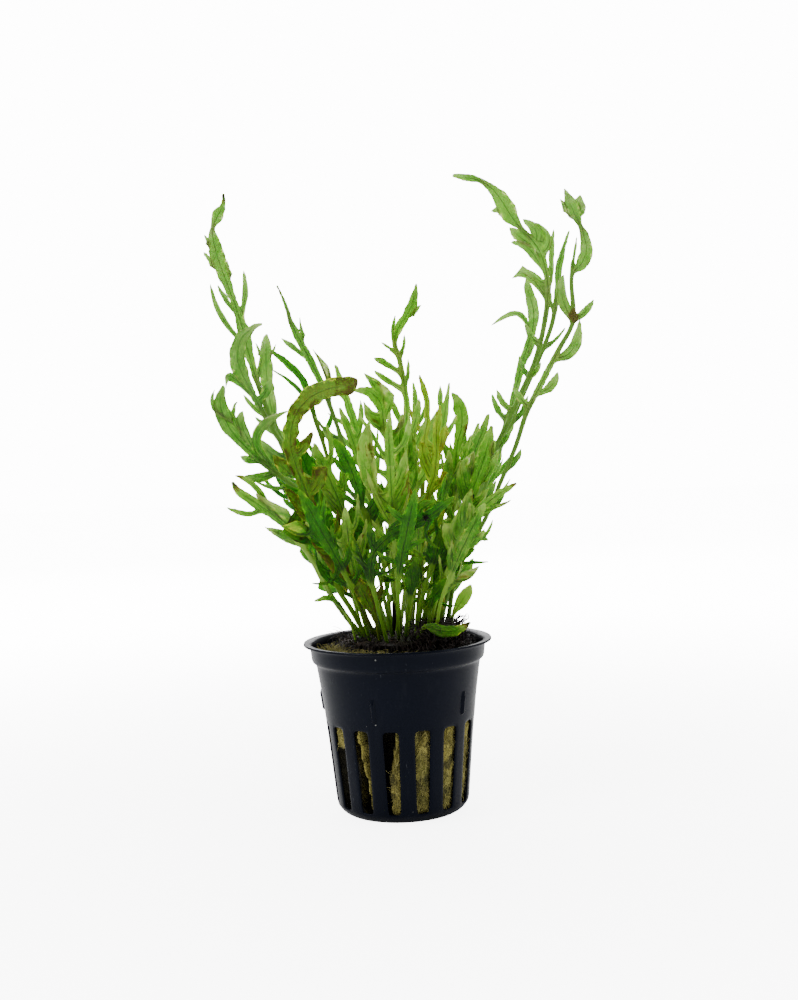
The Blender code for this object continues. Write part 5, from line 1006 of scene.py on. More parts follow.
def set_camera():
    """The camera at the photograph's place: level with the leaves, a little down and rolled."""
    camera = bpy.data.objects.new("camera", bpy.data.cameras.new("camera"))
    bpy.context.scene.collection.objects.link(camera)
    camera.data.sensor_fit = "AUTO"
    camera.data.sensor_width = 36
    camera.data.lens = CAMERA_LENS
    camera.data.clip_start = 0.01
    down, roll = math.radians(CAMERA_DOWN), math.radians(CAMERA_ROLL)
    look = Vector((0, math.cos(down), -math.sin(down)))
    side = Vector((1, 0, 0))
    up = side.cross(look)
    right = side * math.cos(roll) + up * math.sin(roll)
    above = up * math.cos(roll) - side * math.sin(roll)
    place = Matrix((right, above, -look)).transposed().to_4x4()
    place.translation = Vector(CAMERA_PLACE)
    camera.matrix_world = place
    bpy.context.scene.camera = camera


def lay_floor():
    """A pale floor that the camera sees grow brighter with distance, until it meets the backdrop: its glow is
    painted light, and the dimmer glow near the pot is a painted shadow.
    """
    deselect()
    bpy.ops.mesh.primitive_plane_add(size=6, location=(0, 0, -0.0002))
    floor = bpy.context.object
    floor.name = "floor"
    pale, n, sockets = new_material("pale floor", Base_Color=(0.93, 0.93, 0.93, 1), Roughness=0.9,
                                    Specular_IOR_Level=0.1, Emission_Color=(1, 1, 1, 1))
    away = n.add("VectorMath", operation="LENGTH")
    n.set(away.inputs[0], n.place())
    # painted light: the floor glows for camera rays only, and less near the pot, which paints a soft shadow
    # round it
    glow = n.ramp(away.outputs["Value"], 0.03, 0.5, 6.5, 13.0)
    n.set(sockets["Emission Strength"], n.times(n.add("LightPath").outputs["Is Camera Ray"], glow))
    floor.data.materials.append(pale)


def hang_lamp(name, place, target, size, power):
    light = bpy.data.lights.new(name, "AREA")
    light.shape = "RECTANGLE"
    light.size, light.size_y = size
    light.energy = power
    made = bpy.data.objects.new(name, light)
    made.location = place
    made.rotation_mode = "QUATERNION"
    made.rotation_quaternion = (Vector(target) - Vector(place)).to_track_quat("-Z", "Y")
    bpy.context.scene.collection.objects.link(made)


def light_world():
    """A soft world, dim behind the camera and low down, and white where the camera sees it."""
    world = bpy.data.worlds.new("soft studio")
    world.use_nodes = True
    n = Nodes(world.node_tree)
    backdrop = n.tree.nodes["Background"]
    split = n.add("SeparateXYZ", Vector=n.add("TexCoord").outputs["Generated"])
    ahead = n.ramp(split.outputs["Y"], -0.8, 0.6, 0.03, 0.9, "LINEAR")
    aloft = n.ramp(split.outputs["Z"], 0.0, 0.5, 0.2, 1.1, "LINEAR")
    shown = n.add("Mix", Factor=n.add("LightPath").outputs["Is Camera Ray"], A=n.times(ahead, aloft), B=14.0)
    n.set(backdrop.inputs["Strength"], shown.outputs["Result"])
    backdrop.inputs["Color"].default_value = (1, 1, 1, 1)
    bpy.context.scene.world = world


def deselect():
    if bpy.context.object and bpy.context.object.mode == "EDIT":
        bpy.ops.object.mode_set(mode="OBJECT")
    bpy.ops.object.select_all(action="DESELECT")


def give_modifier(made, kind, **values):
    added = made.modifiers.new(kind.lower(), kind)
    for key, value in values.items():
        setattr(added, key, value)


def apply_modifiers(made):
    deselect()
    bpy.context.view_layer.objects.active = made
    made.select_set(True)
    for each in list(made.modifiers):
        bpy.ops.object.modifier_apply(modifier=each.name)


def settle(made, name, finish, nodes):
    """Names a finished piece, gives it its material and puts it in the place of its solids."""
    made.name = name
    made.data.name = name
    made.data.materials.clear()
    made.data.materials.append(finish)
    for polygon in made.data.polygons:
        polygon.use_smooth = True
    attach(made, "root")
    if nodes:
        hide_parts(*nodes)


def from_arrays(name, verts, faces):
    """A mesh object from arrays in millimetres."""
    mesh = bpy.data.meshes.new(name)
    mesh.from_pydata((np.asarray(verts) * MM).tolist(), [], [tuple(face) for face in faces])
    made = bpy.data.objects.new(name, mesh)
    bpy.context.scene.collection.objects.link(made)
    return made


def level_ring(sides, radius, z):
    """Starts a piece as a level ring about the pot's axis, in edit mode."""
    deselect()
    bpy.ops.mesh.primitive_circle_add(vertices=sides, radius=radius * MM, location=(0, 0, z * MM))
    bpy.ops.object.transform_apply(location=True, rotation=True, scale=True)
    bpy.ops.object.mode_set(mode="EDIT")
    return bpy.context.object


def extrude_ring(piece, put):
    """Extrudes the selected ring, and puts each new vertex in its place."""
    bpy.ops.mesh.extrude_edges_move()
    bm = bmesh.from_edit_mesh(piece.data)
    for v in bm.verts:
        if v.select:
            put(v)
    bmesh.update_edit_mesh(piece.data)


def put_at(v, radius, z):
    """Moves a vertex out or in to a radius and up or down to a height."""
    v.co.xy = v.co.xy.normalized() * (radius * MM)
    v.co.z = z * MM


def select_ring(piece, z, radius=None):
    """Selects the edges that lie level at a height, and at a radius if one is given."""
    bm = bmesh.from_edit_mesh(piece.data)
    for edge in bm.edges:
        level = all(abs(v.co.z - z * MM) < 1e-6 for v in edge.verts)
        if level and radius is not None:
            level = all(abs(v.co.xy.length - radius * MM) < 1e-6 for v in edge.verts)
        edge.select = level
    bm.select_flush_mode()


def close_ends(piece, foot_z):
    """Fills the top ring, which is still selected, and the foot ring, and leaves edit mode."""
    bpy.ops.mesh.edge_face_add()
    select_ring(piece, foot_z)
    bpy.ops.mesh.edge_face_add()
    bpy.ops.mesh.select_all(action="SELECT")
    bpy.ops.mesh.normals_make_consistent(inside=False)
    bpy.ops.object.mode_set(mode="OBJECT")


def threads(runs, sides=3):
    """Thin round threads: each run is (points, radius at the start, radius at the end), in millimetres."""
    verts, faces = [], []
    for points, thick, thin in runs:
        points = np.asarray(points, float)
        count = len(points)
        run = np.gradient(points, axis=0)
        run /= np.linalg.norm(run, axis=1)[:, None] + 1e-9
        side = np.cross(run, (0.31, 0.52, 0.79))
        side /= np.linalg.norm(side, axis=1)[:, None] + 1e-9
        other = np.cross(run, side)
        first = len(verts)
        for i in range(count):
            radius = thick + (thin - thick) * i / (count - 1)
            for k in range(sides):
                angle = 2 * math.pi * k / sides
                verts.append(points[i] + (side[i] * math.cos(angle) + other[i] * math.sin(angle)) * radius)
        for i in range(count - 1):
            for k in range(sides):
                a, b = first + i * sides + k, first + i * sides + (k + 1) % sides
                faces.append((a, b, b + sides, a + sides))
        faces.append(tuple(first + k for k in reversed(range(sides))))
        faces.append(tuple(first + (count - 1) * sides + k for k in range(sides)))
    return verts, faces


def wander(dice, start, heading, length, count, bend, pull=(0, 0, 0)):
    """Points of a curling thread that sets off in a direction and turns at random."""
    points = [Vector(start)]
    heading = Vector(heading).normalized()
    turn = Vector([dice.gauss(0, 1) for _ in range(3)])
    for _ in range(count - 1):
        turn = turn * 0.6 + Vector([dice.gauss(0, 1) for _ in range(3)]) * 0.6
        heading = (heading + turn * bend + Vector(pull)).normalized()
        points.append(points[-1] + heading * (length / (count - 1)))
    return points


def held_in(point, widest, lowest, highest):
    """The nearest place to a thread's point that lies inside the pot's wall and between two heights."""
    z = max(lowest, min(point.z, highest))
    most = min(widest, face_radius(z) - POT_WALL - 0.15)
    flat = point.xy if point.xy.length < most else point.xy.normalized() * most
    return Vector((*flat, z))


def under_face(point):
    """A thread's point, drawn in where it would come through the pot's outer face."""
    most = face_radius(point.z) - 0.12
    return point if point.xy.length < most else Vector((*(point.xy.normalized() * most), point.z))


def held_thread(dice, start, heading, lengths, count, bend, sink, hold, thick, thin):
    """A thread that sinks a little as it goes, kept within the widest radius and the two heights of hold."""
    run = wander(dice, start, heading, dice.uniform(*lengths), count, bend, (0, 0, -sink))
    return [held_in(p, *hold) for p in run], dice.uniform(*thick), thin


def make_pot(finish):
    """A ring extruded up row by row, slots deleted, the wall thickened, small ribs added outside."""
    pot = level_ring(SLOTS * SLOT_COLUMNS, *POT_ROWS[0])
    for radius, z in POT_ROWS[1:]:
        extrude_ring(pot, lambda v: put_at(v, radius, z))
    foot_radius, foot_z = POT_ROWS[0]
    select_ring(pot, foot_z, foot_radius)
    for radius, z in POT_FLOOR:
        extrude_ring(pot, lambda v: put_at(v, radius, z))
    bpy.ops.mesh.edge_face_add()
    # turn the columns so that the slots stand where they are seen, then take the slots out
    bm = bmesh.from_edit_mesh(pot.data)
    spin = Matrix.Rotation(math.radians(SLOT_FIRST + SLOT_PITCH / 4), 3, "Z")
    bmesh.ops.rotate(bm, cent=(0, 0, 0), matrix=spin, verts=bm.verts)
    lowest, highest = SLOT_LOW - 0.1, SLOT_HIGH + 0.1
    for face in bm.faces:
        centre = face.calc_center_median()
        heights = [v.co.z / MM for v in face.verts]
        in_wall = min(heights) > lowest and max(heights) < highest and centre.xy.length > SLOT_INNERMOST * MM
        face.select = in_wall and abs(slot_offset(centre)) < SLOT_PITCH / 4
    bpy.ops.mesh.delete(type="FACE")
    bm = bmesh.from_edit_mesh(pot.data)
    for v in bm.verts:
        if lowest < v.co.z / MM < highest and v.co.xy.length > SLOT_INNERMOST * MM:
            shape_slot(v)
    bmesh.update_edit_mesh(pot.data)
    bpy.ops.mesh.select_all(action="SELECT")
    bpy.ops.mesh.remove_doubles(threshold=1e-6)
    bpy.ops.mesh.normals_make_consistent(inside=False)
    bm = bmesh.from_edit_mesh(pot.data)
    if min(bm.faces, key=lambda face: face.calc_center_median().z).normal.z > 0:
        bpy.ops.mesh.flip_normals()
    bpy.ops.object.mode_set(mode="OBJECT")
    give_modifier(pot, "SOLIDIFY", thickness=POT_WALL * MM, offset=-1, use_even_offset=True)
    give_modifier(pot, "SUBSURF", levels=1, render_levels=1)
    apply_modifiers(pot)
    ribs = make_ribs()
    deselect()
    ribs.select_set(True)
    pot.select_set(True)
    bpy.context.view_layer.objects.active = pot
    bpy.ops.object.join()
    settle(pot, "slotted_net_pot", finish, ["net_pot"])


def shape_slot(v):
    """Moves a vertex beside a slot, so that the slot narrows to its foot and its corners are round."""
    z = v.co.z / MM
    off = slot_offset(v.co)
    side = math.copysign(1, off)
    azimuth = azimuth_of(v.co)
    if abs(abs(off) - SLOT_PITCH / 4) < 0.6:
        share = (SLOT_HIGH - z) / (SLOT_HIGH - SLOT_LOW)
        azimuth -= side * SLOT_NARROWING * share
        if z > SLOT_HIGH - 0.1:
            azimuth -= side * CORNER_TURN
            z -= CORNER_FALL
        elif z < SLOT_LOW + 0.1:
            azimuth -= side * CORNER_TURN
            z += CORNER_RISE
    v.co = around(v.co.xy.length, azimuth, z * MM)


def make_ribs():
    """Small upright ribs: one block is shaped, then copied round the pot."""
    deselect()
    bpy.ops.mesh.primitive_cube_add(size=1, location=(0, 0, 0))
    rib = bpy.context.object
    rib.scale = [side * MM for side in RIB_SIZE]
    bpy.ops.object.transform_apply(location=False, rotation=False, scale=True)
    bpy.ops.object.mode_set(mode="EDIT")
    bm = bmesh.from_edit_mesh(rib.data)
    for v in bm.verts:
        if v.co.y < 0:
            v.co.x *= RIB_CREST
            v.co.z += (-RIB_TOP_SLOPE if v.co.z > 0 else RIB_FOOT_SLOPE) * MM
            v.co.y += RIB_SUNK * MM
        else:
            v.co.x *= RIB_SPREAD
            v.co.z += RIB_ROOT * math.copysign(MM, v.co.z)
    bpy.ops.mesh.select_all(action="SELECT")
    bpy.ops.mesh.bevel(offset=RIB_ROUNDING * MM, segments=3, affect="EDGES")
    bm = bmesh.from_edit_mesh(rib.data)
    lean = Matrix.Rotation(math.radians(RIB_LEAN), 3, "X")
    bmesh.ops.rotate(bm, cent=(0, 0, 0), matrix=lean, verts=bm.verts)
    bmesh.ops.translate(bm, vec=[c * MM for c in RIB_PLACE], verts=bm.verts)
    turn = Matrix.Rotation(math.radians(RIB_FIRST), 3, "Z")
    bmesh.ops.rotate(bm, cent=(0, 0, 0), matrix=turn, verts=bm.verts)
    step = Matrix.Rotation(math.radians(360 / RIBS), 3, "Z")
    every = bm.verts[:] + bm.edges[:] + bm.faces[:]
    for _ in range(RIBS - 1):
        every = bmesh.ops.duplicate(bm, geom=every)["geom"]
        copied = [part for part in every if isinstance(part, bmesh.types.BMVert)]
        bmesh.ops.rotate(bm, cent=(0, 0, 0), matrix=step, verts=copied)
    bmesh.update_edit_mesh(rib.data)
    bpy.ops.object.mode_set(mode="OBJECT")
    return rib


def wool_lumps(co):
    """How far the wool stands out at a place, from its clots and hollows."""
    broad = noise.noise(Vector((co.x * 0.19, co.y * 0.19, co.z * 0.13)))
    fine = noise.noise(Vector((co.x * 0.75, co.y * 0.75, co.z * 0.45)) + Vector((7, 3, 1)))
    return 0.45 * broad + 0.3 * fine


def wool_hollow(azimuth, z, further=0.0):
    """0 to 1: where the wool stands back from the slots, at the left of the front."""
    a = (azimuth + 180) % 360 - 180
    # two slots at the far left are empty but for their upper ends
    left = smooth_step(-92 - further, -86 - further, a) * (1 - smooth_step(-49, -46.5, a))
    left *= 1 - smooth_step(18.5, 20.5, z)
    # a strand of wool slants through the next slot
    band = -35.5 + (26 - z) * 0.42
    off = abs(a - band)
    second = smooth_step(-47, -45, a) * (1 - smooth_step(-24.5, -23.5, a)) * smooth_step(1.6, 3.0, off)
    # the one after it is empty at its left, up to a torn edge
    edge = -4.2 - 6.2 * smooth_step(26, 11, z) + 1.2 * noise.noise(Vector((z * 0.4, 2, 5)))
    third = smooth_step(-22, -20.5, a) * (1 - smooth_step(edge - 1.2, edge, a))
    return max(left, second, third)


def put_wool_side(v, z):
    """A vertex of the wool's side: it follows the wall, bulges into the slots and stands back where torn."""
    low = min(1.0, 0.35 + z / 6)
    wide = (face_radius(z) - POT_WALL - 0.12) * low + 16.6 * (1 - low)
    place = v.co.xy.normalized() * wide
    out = wool_lumps(Vector((place.x, place.y, z)))
    proud = WOOL_PROUD if abs(slot_offset(v.co)) < 5 and 4 < z < 26 else 0.0
    wide += min(out, 0.1) * 1.6 - 0.3 + proud * (0.6 + out)
    wide -= WOOL_HOLLOW * wool_hollow(azimuth_of(v.co), z)
    put_at(v, min(wide, face_radius(z) - 0.3), z)


def put_wool_top(v, radius):
    """A vertex of the wool's top: lumpy, and raised at the tuft."""
    rise = tuft_rise(azimuth_of(v.co), radius)
    put_at(v, radius, WOOL_TOP)
    lump = wool_lumps(Vector((v.co.x, v.co.y, 0)) / MM * 1.6)
    clump = clumped(Vector((v.co.x, v.co.y, 0.004)))
    v.co.z = (WOOL_TOP + rise * clump + 0.9 * lump * (0.4 + rise / TUFT_RISE) - 0.35) * MM


def make_wool(finish, thread_finish):
    """The wool plug, lumpy and torn, and loose fibres that stand out of it in the slots and at the top."""
    wool = level_ring(WOOL_SIDES, *WOOL_FOOT)
    for i in range(WOOL_RINGS):
        extrude_ring(wool, lambda v: put_wool_side(v, WOOL_FIRST + WOOL_STEP * i))
    for radius in WOOL_TOP_RADII:
        extrude_ring(wool, lambda v: put_wool_top(v, radius))
    close_ends(wool, WOOL_FOOT[1])
    # a band a little wider than the recess is marked, for the painted shade of the empty slots
    hollow_shade = wool.data.attributes.new("hollow_shade", "FLOAT", "POINT")
    hollow_shade.data.foreach_set("value", [
        wool_hollow(azimuth_of(v.co), v.co.z / MM, 14) if v.co.z < 30 * MM else 0.0
        for v in wool.data.vertices])
    settle(wool, "wool_plug", finish, ["rock_wool"])

    dice = random.Random(11)
    runs = []
    for _ in range(SLOT_THREADS):  # along the slots
        slot = dice.randrange(SLOTS)
        z = dice.uniform(4, 26)
        azimuth = SLOT_FIRST + slot * SLOT_PITCH + dice.uniform(-5.6, 5.6)
        if max(wool_hollow(azimuth + turn, z + lift) for turn in (-1, 0, 1) for lift in (-2, 0, 2)) > 0.2:
            continue
        start = around(face_radius(z) - POT_WALL - 0.05, azimuth, z)
        out = Vector((start.x, start.y, 0)).normalized()
        level = Vector((-out.y, out.x, 0))
        heading = level * dice.gauss(0, 0.5) + out * dice.uniform(0.0, 0.25)
        heading.z += dice.choice((-1, 1))
        run = wander(dice, start - out * 0.25, heading, dice.uniform(1.2, 3.4), 5, 0.16, tuple(-out * 0.07))
        runs.append(([under_face(p) for p in run], dice.uniform(0.045, 0.085), 0.03))
    for _ in range(TOP_THREADS):  # the raised tuft and the rest of the top
        azimuth = TUFT_AZIMUTH + dice.gauss(0, 0.62) * TUFT_HALF
        radius = dice.uniform(15.5, 22.9)
        rise = tuft_rise(azimuth, radius) * clumped(around(radius, azimuth, 4) * MM)
        start = around(radius, azimuth, WOOL_TOP + rise - 0.4)
        heading = (dice.gauss(0, 1), dice.gauss(0, 1), dice.uniform(0.1, 0.9))
        runs.append(held_thread(dice, start, heading, (2.0, 6.0), 6, 0.2, 0.07, (24.0, 43.5, 49.0),
                                (0.06, 0.12), 0.035))
    settle(from_arrays("fibres", *threads(runs)), "wool_fibres", thread_finish, [])


def put_mat(v, i, share):
    """A vertex of the felt's ring i: crumbly on top, and standing back from the wall at the tuft."""
    cut = 1 - smooth_step(TUFT_HALF * 0.85, TUFT_HALF + 22, from_tuft(azimuth_of(v.co)))
    reach = (MAT_RADIUS - 0.4 - MAT_CUT * cut + 0.7 * noise.noise(v.co * 300)) * share
    v.co.xy = v.co.xy.normalized() * (reach * MM)
    if i < 2:
        v.co.z = (45.0 + 0.5 * i) * MM
    else:
        crumb = 1.1 * noise.noise(v.co * 260) + 0.8 * noise.noise(v.co * 620 + Vector((3, 1, 2)))
        v.co.z = (MAT_TOP + 0.35 + 0.7 * crumb + 0.5 * (1 - share)) * MM


def make_mat(finish, thread_finish):
    """The felt of roots and peat on the wool, crumbly, with fine roots that curl over it."""
    mat = level_ring(MAT_SIDES, *MAT_FOOT)
    for i, share in enumerate(MAT_SHARES):
        extrude_ring(mat, lambda v: put_mat(v, i, share))
    close_ends(mat, MAT_FOOT[1])
    settle(mat, "peat_and_root_felt", finish, ["root_mat"])

    dice = random.Random(23)
    runs = []
    for _ in range(FELT_ROOTS):  # fine roots that lie curled on the felt
        azimuth, radius = dice.uniform(0, 360), 22.5 * math.sqrt(dice.random())
        if from_tuft(azimuth) < TUFT_HALF and radius > BARE_RADIUS:
            continue
        start = around(radius, azimuth, MAT_TOP + 0.3)
        heading = (dice.gauss(0, 1), dice.gauss(0, 1), dice.uniform(0, 0.5))
        runs.append(held_thread(dice, start, heading, (2.5, 7), 8, 0.34, 0.04, (23.6, 46.0, 60.0),
                                (0.07, 0.16), 0.04))
    for _ in range(TUFT_ROOTS):  # the brown tuft of roots that stands at the right
        start = Vector((dice.uniform(7, 18), dice.uniform(-12, 2), dice.uniform(48.5, 54)))
        heading = (dice.gauss(0.1, 0.9), dice.gauss(-0.2, 0.9), dice.uniform(-0.2, 1))
        runs.append(held_thread(dice, start, heading, (3, 8), 9, 0.5, 0.1, (21.0, 46.6, 55.8),
                                (0.12, 0.24), 0.1))
    for _ in range(CROWN_ROOTS):  # roots that spring from the rootstock and hang over its sides
        turn, reach = dice.uniform(0, 6.283), math.sqrt(dice.uniform(0.05, 1.0))
        x = CROWN[0] + CROWN_HALF[0] * reach * math.cos(turn)
        y = CROWN[1] + CROWN_HALF[1] * reach * math.sin(turn)
        start = Vector((x, y, crown_height(x, y) - 0.3))
        out = Vector((math.cos(turn), math.sin(turn), 0))
        heading = out * dice.uniform(0.1, 1) + Vector((dice.gauss(0, 0.6), dice.gauss(0, 0.6), 0.25))
        runs.append(held_thread(dice, start, heading, (3, 9), 9, 0.3, 0.22, (23.4, 46.4, 60.0),
                                (0.1, 0.22), 0.05))
    settle(from_arrays("roots", *threads(runs)), "fine_roots", thread_finish, [])


def crumb_template():
    """One crumb of peat: a small block with its corners cut and pushed about."""
    deselect()
    bpy.ops.mesh.primitive_ico_sphere_add(subdivisions=1, radius=1)
    crumb = bpy.context.object
    bpy.ops.object.mode_set(mode="EDIT")
    bpy.ops.mesh.subdivide(number_cuts=1, smoothness=0.3)
    bm = bmesh.from_edit_mesh(crumb.data)
    for v in bm.verts:
        v.co *= 1 + 0.45 * noise.noise(v.co * 1.7 + Vector((4, 1, 8)))
    bmesh.update_edit_mesh(crumb.data)
    bpy.ops.object.mode_set(mode="OBJECT")
    verts = np.array([v.co for v in crumb.data.vertices])
    faces = [tuple(p.vertices) for p in crumb.data.polygons]
    bpy.data.objects.remove(crumb)
    return verts, faces


def make_crumbs(finish):
    """Peat crumbs, modelled once and strewn over the felt."""
    shape, shape_faces = crumb_template()
    dice = random.Random(37)
    verts, faces = [], []
    for _ in range(CRUMBS):
        azimuth, radius = dice.uniform(0, 360), 23.0 * math.sqrt(dice.random())
        if from_tuft(azimuth) < TUFT_HALF and radius > BARE_RADIUS and dice.random() < 0.85:
            continue
        size = dice.uniform(0.22, 0.75)
        turn = Matrix.Rotation(dice.uniform(0, 6.28), 3, Vector([dice.gauss(0, 1) for _ in range(3)]))
        centre = around(min(radius, 23.3 - size), azimuth, MAT_TOP + dice.uniform(0.1, 0.9))
        first = len(verts)
        stretch = np.array([dice.uniform(0.6, 1.3), dice.uniform(0.6, 1.2), dice.uniform(0.5, 0.9)]) * size
        verts.extend((shape * stretch) @ np.array(turn).T + np.array(centre))
        faces.extend(tuple(first + i for i in face) for face in shape_faces)
    settle(from_arrays("crumbs", verts, faces), "peat_crumbs", finish, [])


def make_crown(finish):
    """The creeping rootstock: a flat knotted body that the stalks spring from."""
    deselect()
    bpy.ops.mesh.primitive_uv_sphere_add(segments=48, ring_count=24, radius=1)
    crown = bpy.context.object
    bpy.ops.object.mode_set(mode="EDIT")
    bpy.ops.mesh.select_all(action="SELECT")
    bpy.ops.mesh.subdivide(number_cuts=1)
    bm = bmesh.from_edit_mesh(crown.data)
    for v in bm.verts:
        unit = v.co.normalized()
        place = Vector([CROWN[i] + CROWN_HALF[i] * unit[i] for i in range(3)])
        knot = 0.10 * noise.noise(place * 0.28) + 0.07 * noise.noise(place * 0.9) - 0.06
        v.co = Vector([CROWN[i] + CROWN_HALF[i] * unit[i] * (1 + knot) for i in range(3)]) * MM
    bmesh.update_edit_mesh(crown.data)
    bpy.ops.object.mode_set(mode="OBJECT")
    settle(crown, "creeping_rootstock", finish, ["rhizome"])


def ring_places(route, lobes):
    """Distances of the cage's rings: close together along the leafy part, further apart on the stalk."""
    leafy = min([d for d, *_ in lobes] + [next((route.at[i] for i, p in enumerate(route.line)
                                                if p[2] > STALK_WIDTH), route.length)])
    places = [0.0]
    while places[-1] < route.length - 0.4 * RING_STEP:
        step = RING_STEP if places[-1] > leafy - 4 else STALK_STEP
        places.append(min(places[-1] + step, route.length))
    places[-1] = route.length
    return places


def base_of(places, d, side, taken):
    """The ring at the middle of a lobe's base: the nearest one whose neighbours are free on that side."""
    for i in sorted(range(2, len(places) - 2), key=lambda i: abs(places[i] - d)):
        if abs(places[i] - d) > 7:
            return None
        wanted = {(i + k, side) for k in (-1, 0, 1)}
        if not wanted & taken:
            taken |= wanted
            return i
    return None


def blade_rings(name, route, places, seed):
    """Three points across the blade at each ring, each with (u, v, edge, tip share, stalk share)."""
    rows = []
    ruffle = OLD_RUFFLE if name in OLD_LEAVES else 1.0
    for i, d in enumerate(places):
        point, across = route.point(d), route.across(d)
        if i == 0:
            point = point - route.along(d) * 1.6
        half = route.half_width(d)
        stalk = 1 - smooth_step(STALK_WIDTH - 0.1, STALK_WIDTH + 0.7, route.flat(d)[2])
        if name not in DEAD_LEAVES:
            stalk *= 1 - smooth_step(route.length - 14, route.length - 6, d)
        wave = (1 - stalk) * min(1.0, half / 1.6)
        left, right = (half * (1 + wave * ruffle * RAGGED * (noise.noise(Vector((seed, d * 0.45, row))) +
                                                             0.8 * noise.noise(Vector((seed, d * 1.7, row)))))
                       for row in (1, 9))
        lift, drop = (RIPPLE * ruffle * wave * 1.6 * noise.noise(Vector((seed, d * 0.33, row)))
                      for row in (3, 6))
        normal = route.along(d).cross(across)
        tip = smooth_step(route.length - 9, route.length, d)
        for place, u in ((point + across * left + normal * lift, left),
                         (point - normal * (FOLD * half * (1 - stalk)), 0.0),
                         (point - across * right + normal * drop, -right)):
            rows.append((place, (u, d, 1.0 if u else 0.0, tip, stalk)))
    return rows


def lobe_buds(bm, route, places, lobes, dice):
    """For each lobe that finds room, where it springs, how it runs and how it turns."""
    buds, taken = [], set()
    for d, side, middle, tip, width in lobes:
        ring = base_of(places, d, side, taken)
        if ring is None:
            continue
        base = [3 * (ring + k) + (0 if side > 0 else 2) for k in (-1, 0, 1)]
        root = bm.verts[base[1]].co / MM
        end, centre = route.lobe_point(d, *tip), route.lobe_point(d, *middle)
        length = (end - root).length
        loose = min(1.0, length / 8)
        at = places[ring]
        buds.append(dict(
            base=base, front=base, root=root, end=end, pull=centre * 2 - (root + end) / 2, width=width,
            length=length, normal=route.along(at).cross(route.across(at)).normalized(), wide=None,
            bend=dice.uniform(-0.16, 0.16) * length * loose,
            twist=math.radians(dice.uniform(-LOBE_TWIST, LOBE_TWIST)) * loose,
            foot=(bm.verts[base[0]].co - bm.verts[base[2]].co).length / MM / 2))
    return buds


def lobe_ring(bud, key, t, share, low):
    """The three places across a lobe at share t of its length, each with its facts."""
    def midrib(s):
        """The curve from the lobe's root to its end, drawn towards its pull point."""
        return bud["root"].lerp(bud["pull"], s).lerp(bud["pull"].lerp(bud["end"], s), s)

    here = midrib(t)
    run = (midrib(min(t + 0.03, 1)) - midrib(t - 0.03)).normalized()
    wide = run.cross(bud["normal"]).normalized()
    if wide.dot(bud["wide"] or low - bud["root"]) < 0:
        wide = -wide
    bud["wide"] = wide
    angle = bud["twist"] * t
    out = wide * math.cos(angle) + run.cross(wide) * math.sin(angle)
    up = run.cross(out)
    if up.dot(bud["normal"]) < 0:
        up = -up
    here += bud["normal"] * (bud["bend"] * t * t + LOBE_DRIFT * noise.noise(Vector((key, t * 3.1, 5))))
    along, tip = bud["length"] * t, smooth_step(0.1, 1.0, t)
    rows = []
    for k, sign in enumerate((1, 0, -1)):
        ragged = 1 + LOBE_RAGGED * noise.noise(Vector((key, t * 5, 2.0 + k)))
        half = max(0.1, bud["width"] / 2 * share * 1.1 * ragged, bud["foot"] * (1 - t) ** 3)
        if sign:
            curl = RIPPLE * 0.8 * noise.noise(Vector((key, along * 0.4, 3.0 + k)))
            rows.append((here + out * half * sign + up * curl, (half * sign, along, 1.0, tip, 0.0)))
        else:
            rows.append((here - up * FOLD * half, (0.0, along, 0.0, tip, 0.0)))
    return rows


def pull_lobes(leaf, buds, seed, facts, owner):
    """Extrudes the lobes out of the blade's sides, all of them ring by ring."""
    for t, share in LOBE_RINGS:
        bm = bmesh.from_edit_mesh(leaf.data)
        bm.verts.ensure_lookup_table()
        for part in (*bm.verts, *bm.edges, *bm.faces):
            part.select = False
        front = {}
        for number, bud in enumerate(buds):
            corners = [bm.verts[i] for i in bud["front"]]
            for a, b in zip(corners, corners[1:]):
                bm.edges.get((a, b)).select = True
            front.update({i: (number, k) for k, i in enumerate(bud["front"])})
        bm.select_flush_mode()
        bmesh.update_edit_mesh(leaf.data)
        before = len(bm.verts)
        bpy.ops.mesh.extrude_edges_move()
        bm = bmesh.from_edit_mesh(leaf.data)
        bm.verts.ensure_lookup_table()
        fresh = {front[e.other_vert(v).index]: v for v in bm.verts[before:] for e in v.link_edges
                 if e.other_vert(v).index in front}
        for number, bud in enumerate(buds):
            low = bm.verts[bud["base"][0]].co / MM
            for k, (place, fact) in enumerate(lobe_ring(bud, seed + number, t, share, low)):
                v = fresh[(number, k)]
                v.co = place * MM
                facts[v.index] = fact
                owner[v.index] = number
            bud["front"] = [fresh[(number, k)].index for k in range(3)]
        bmesh.update_edit_mesh(leaf.data)


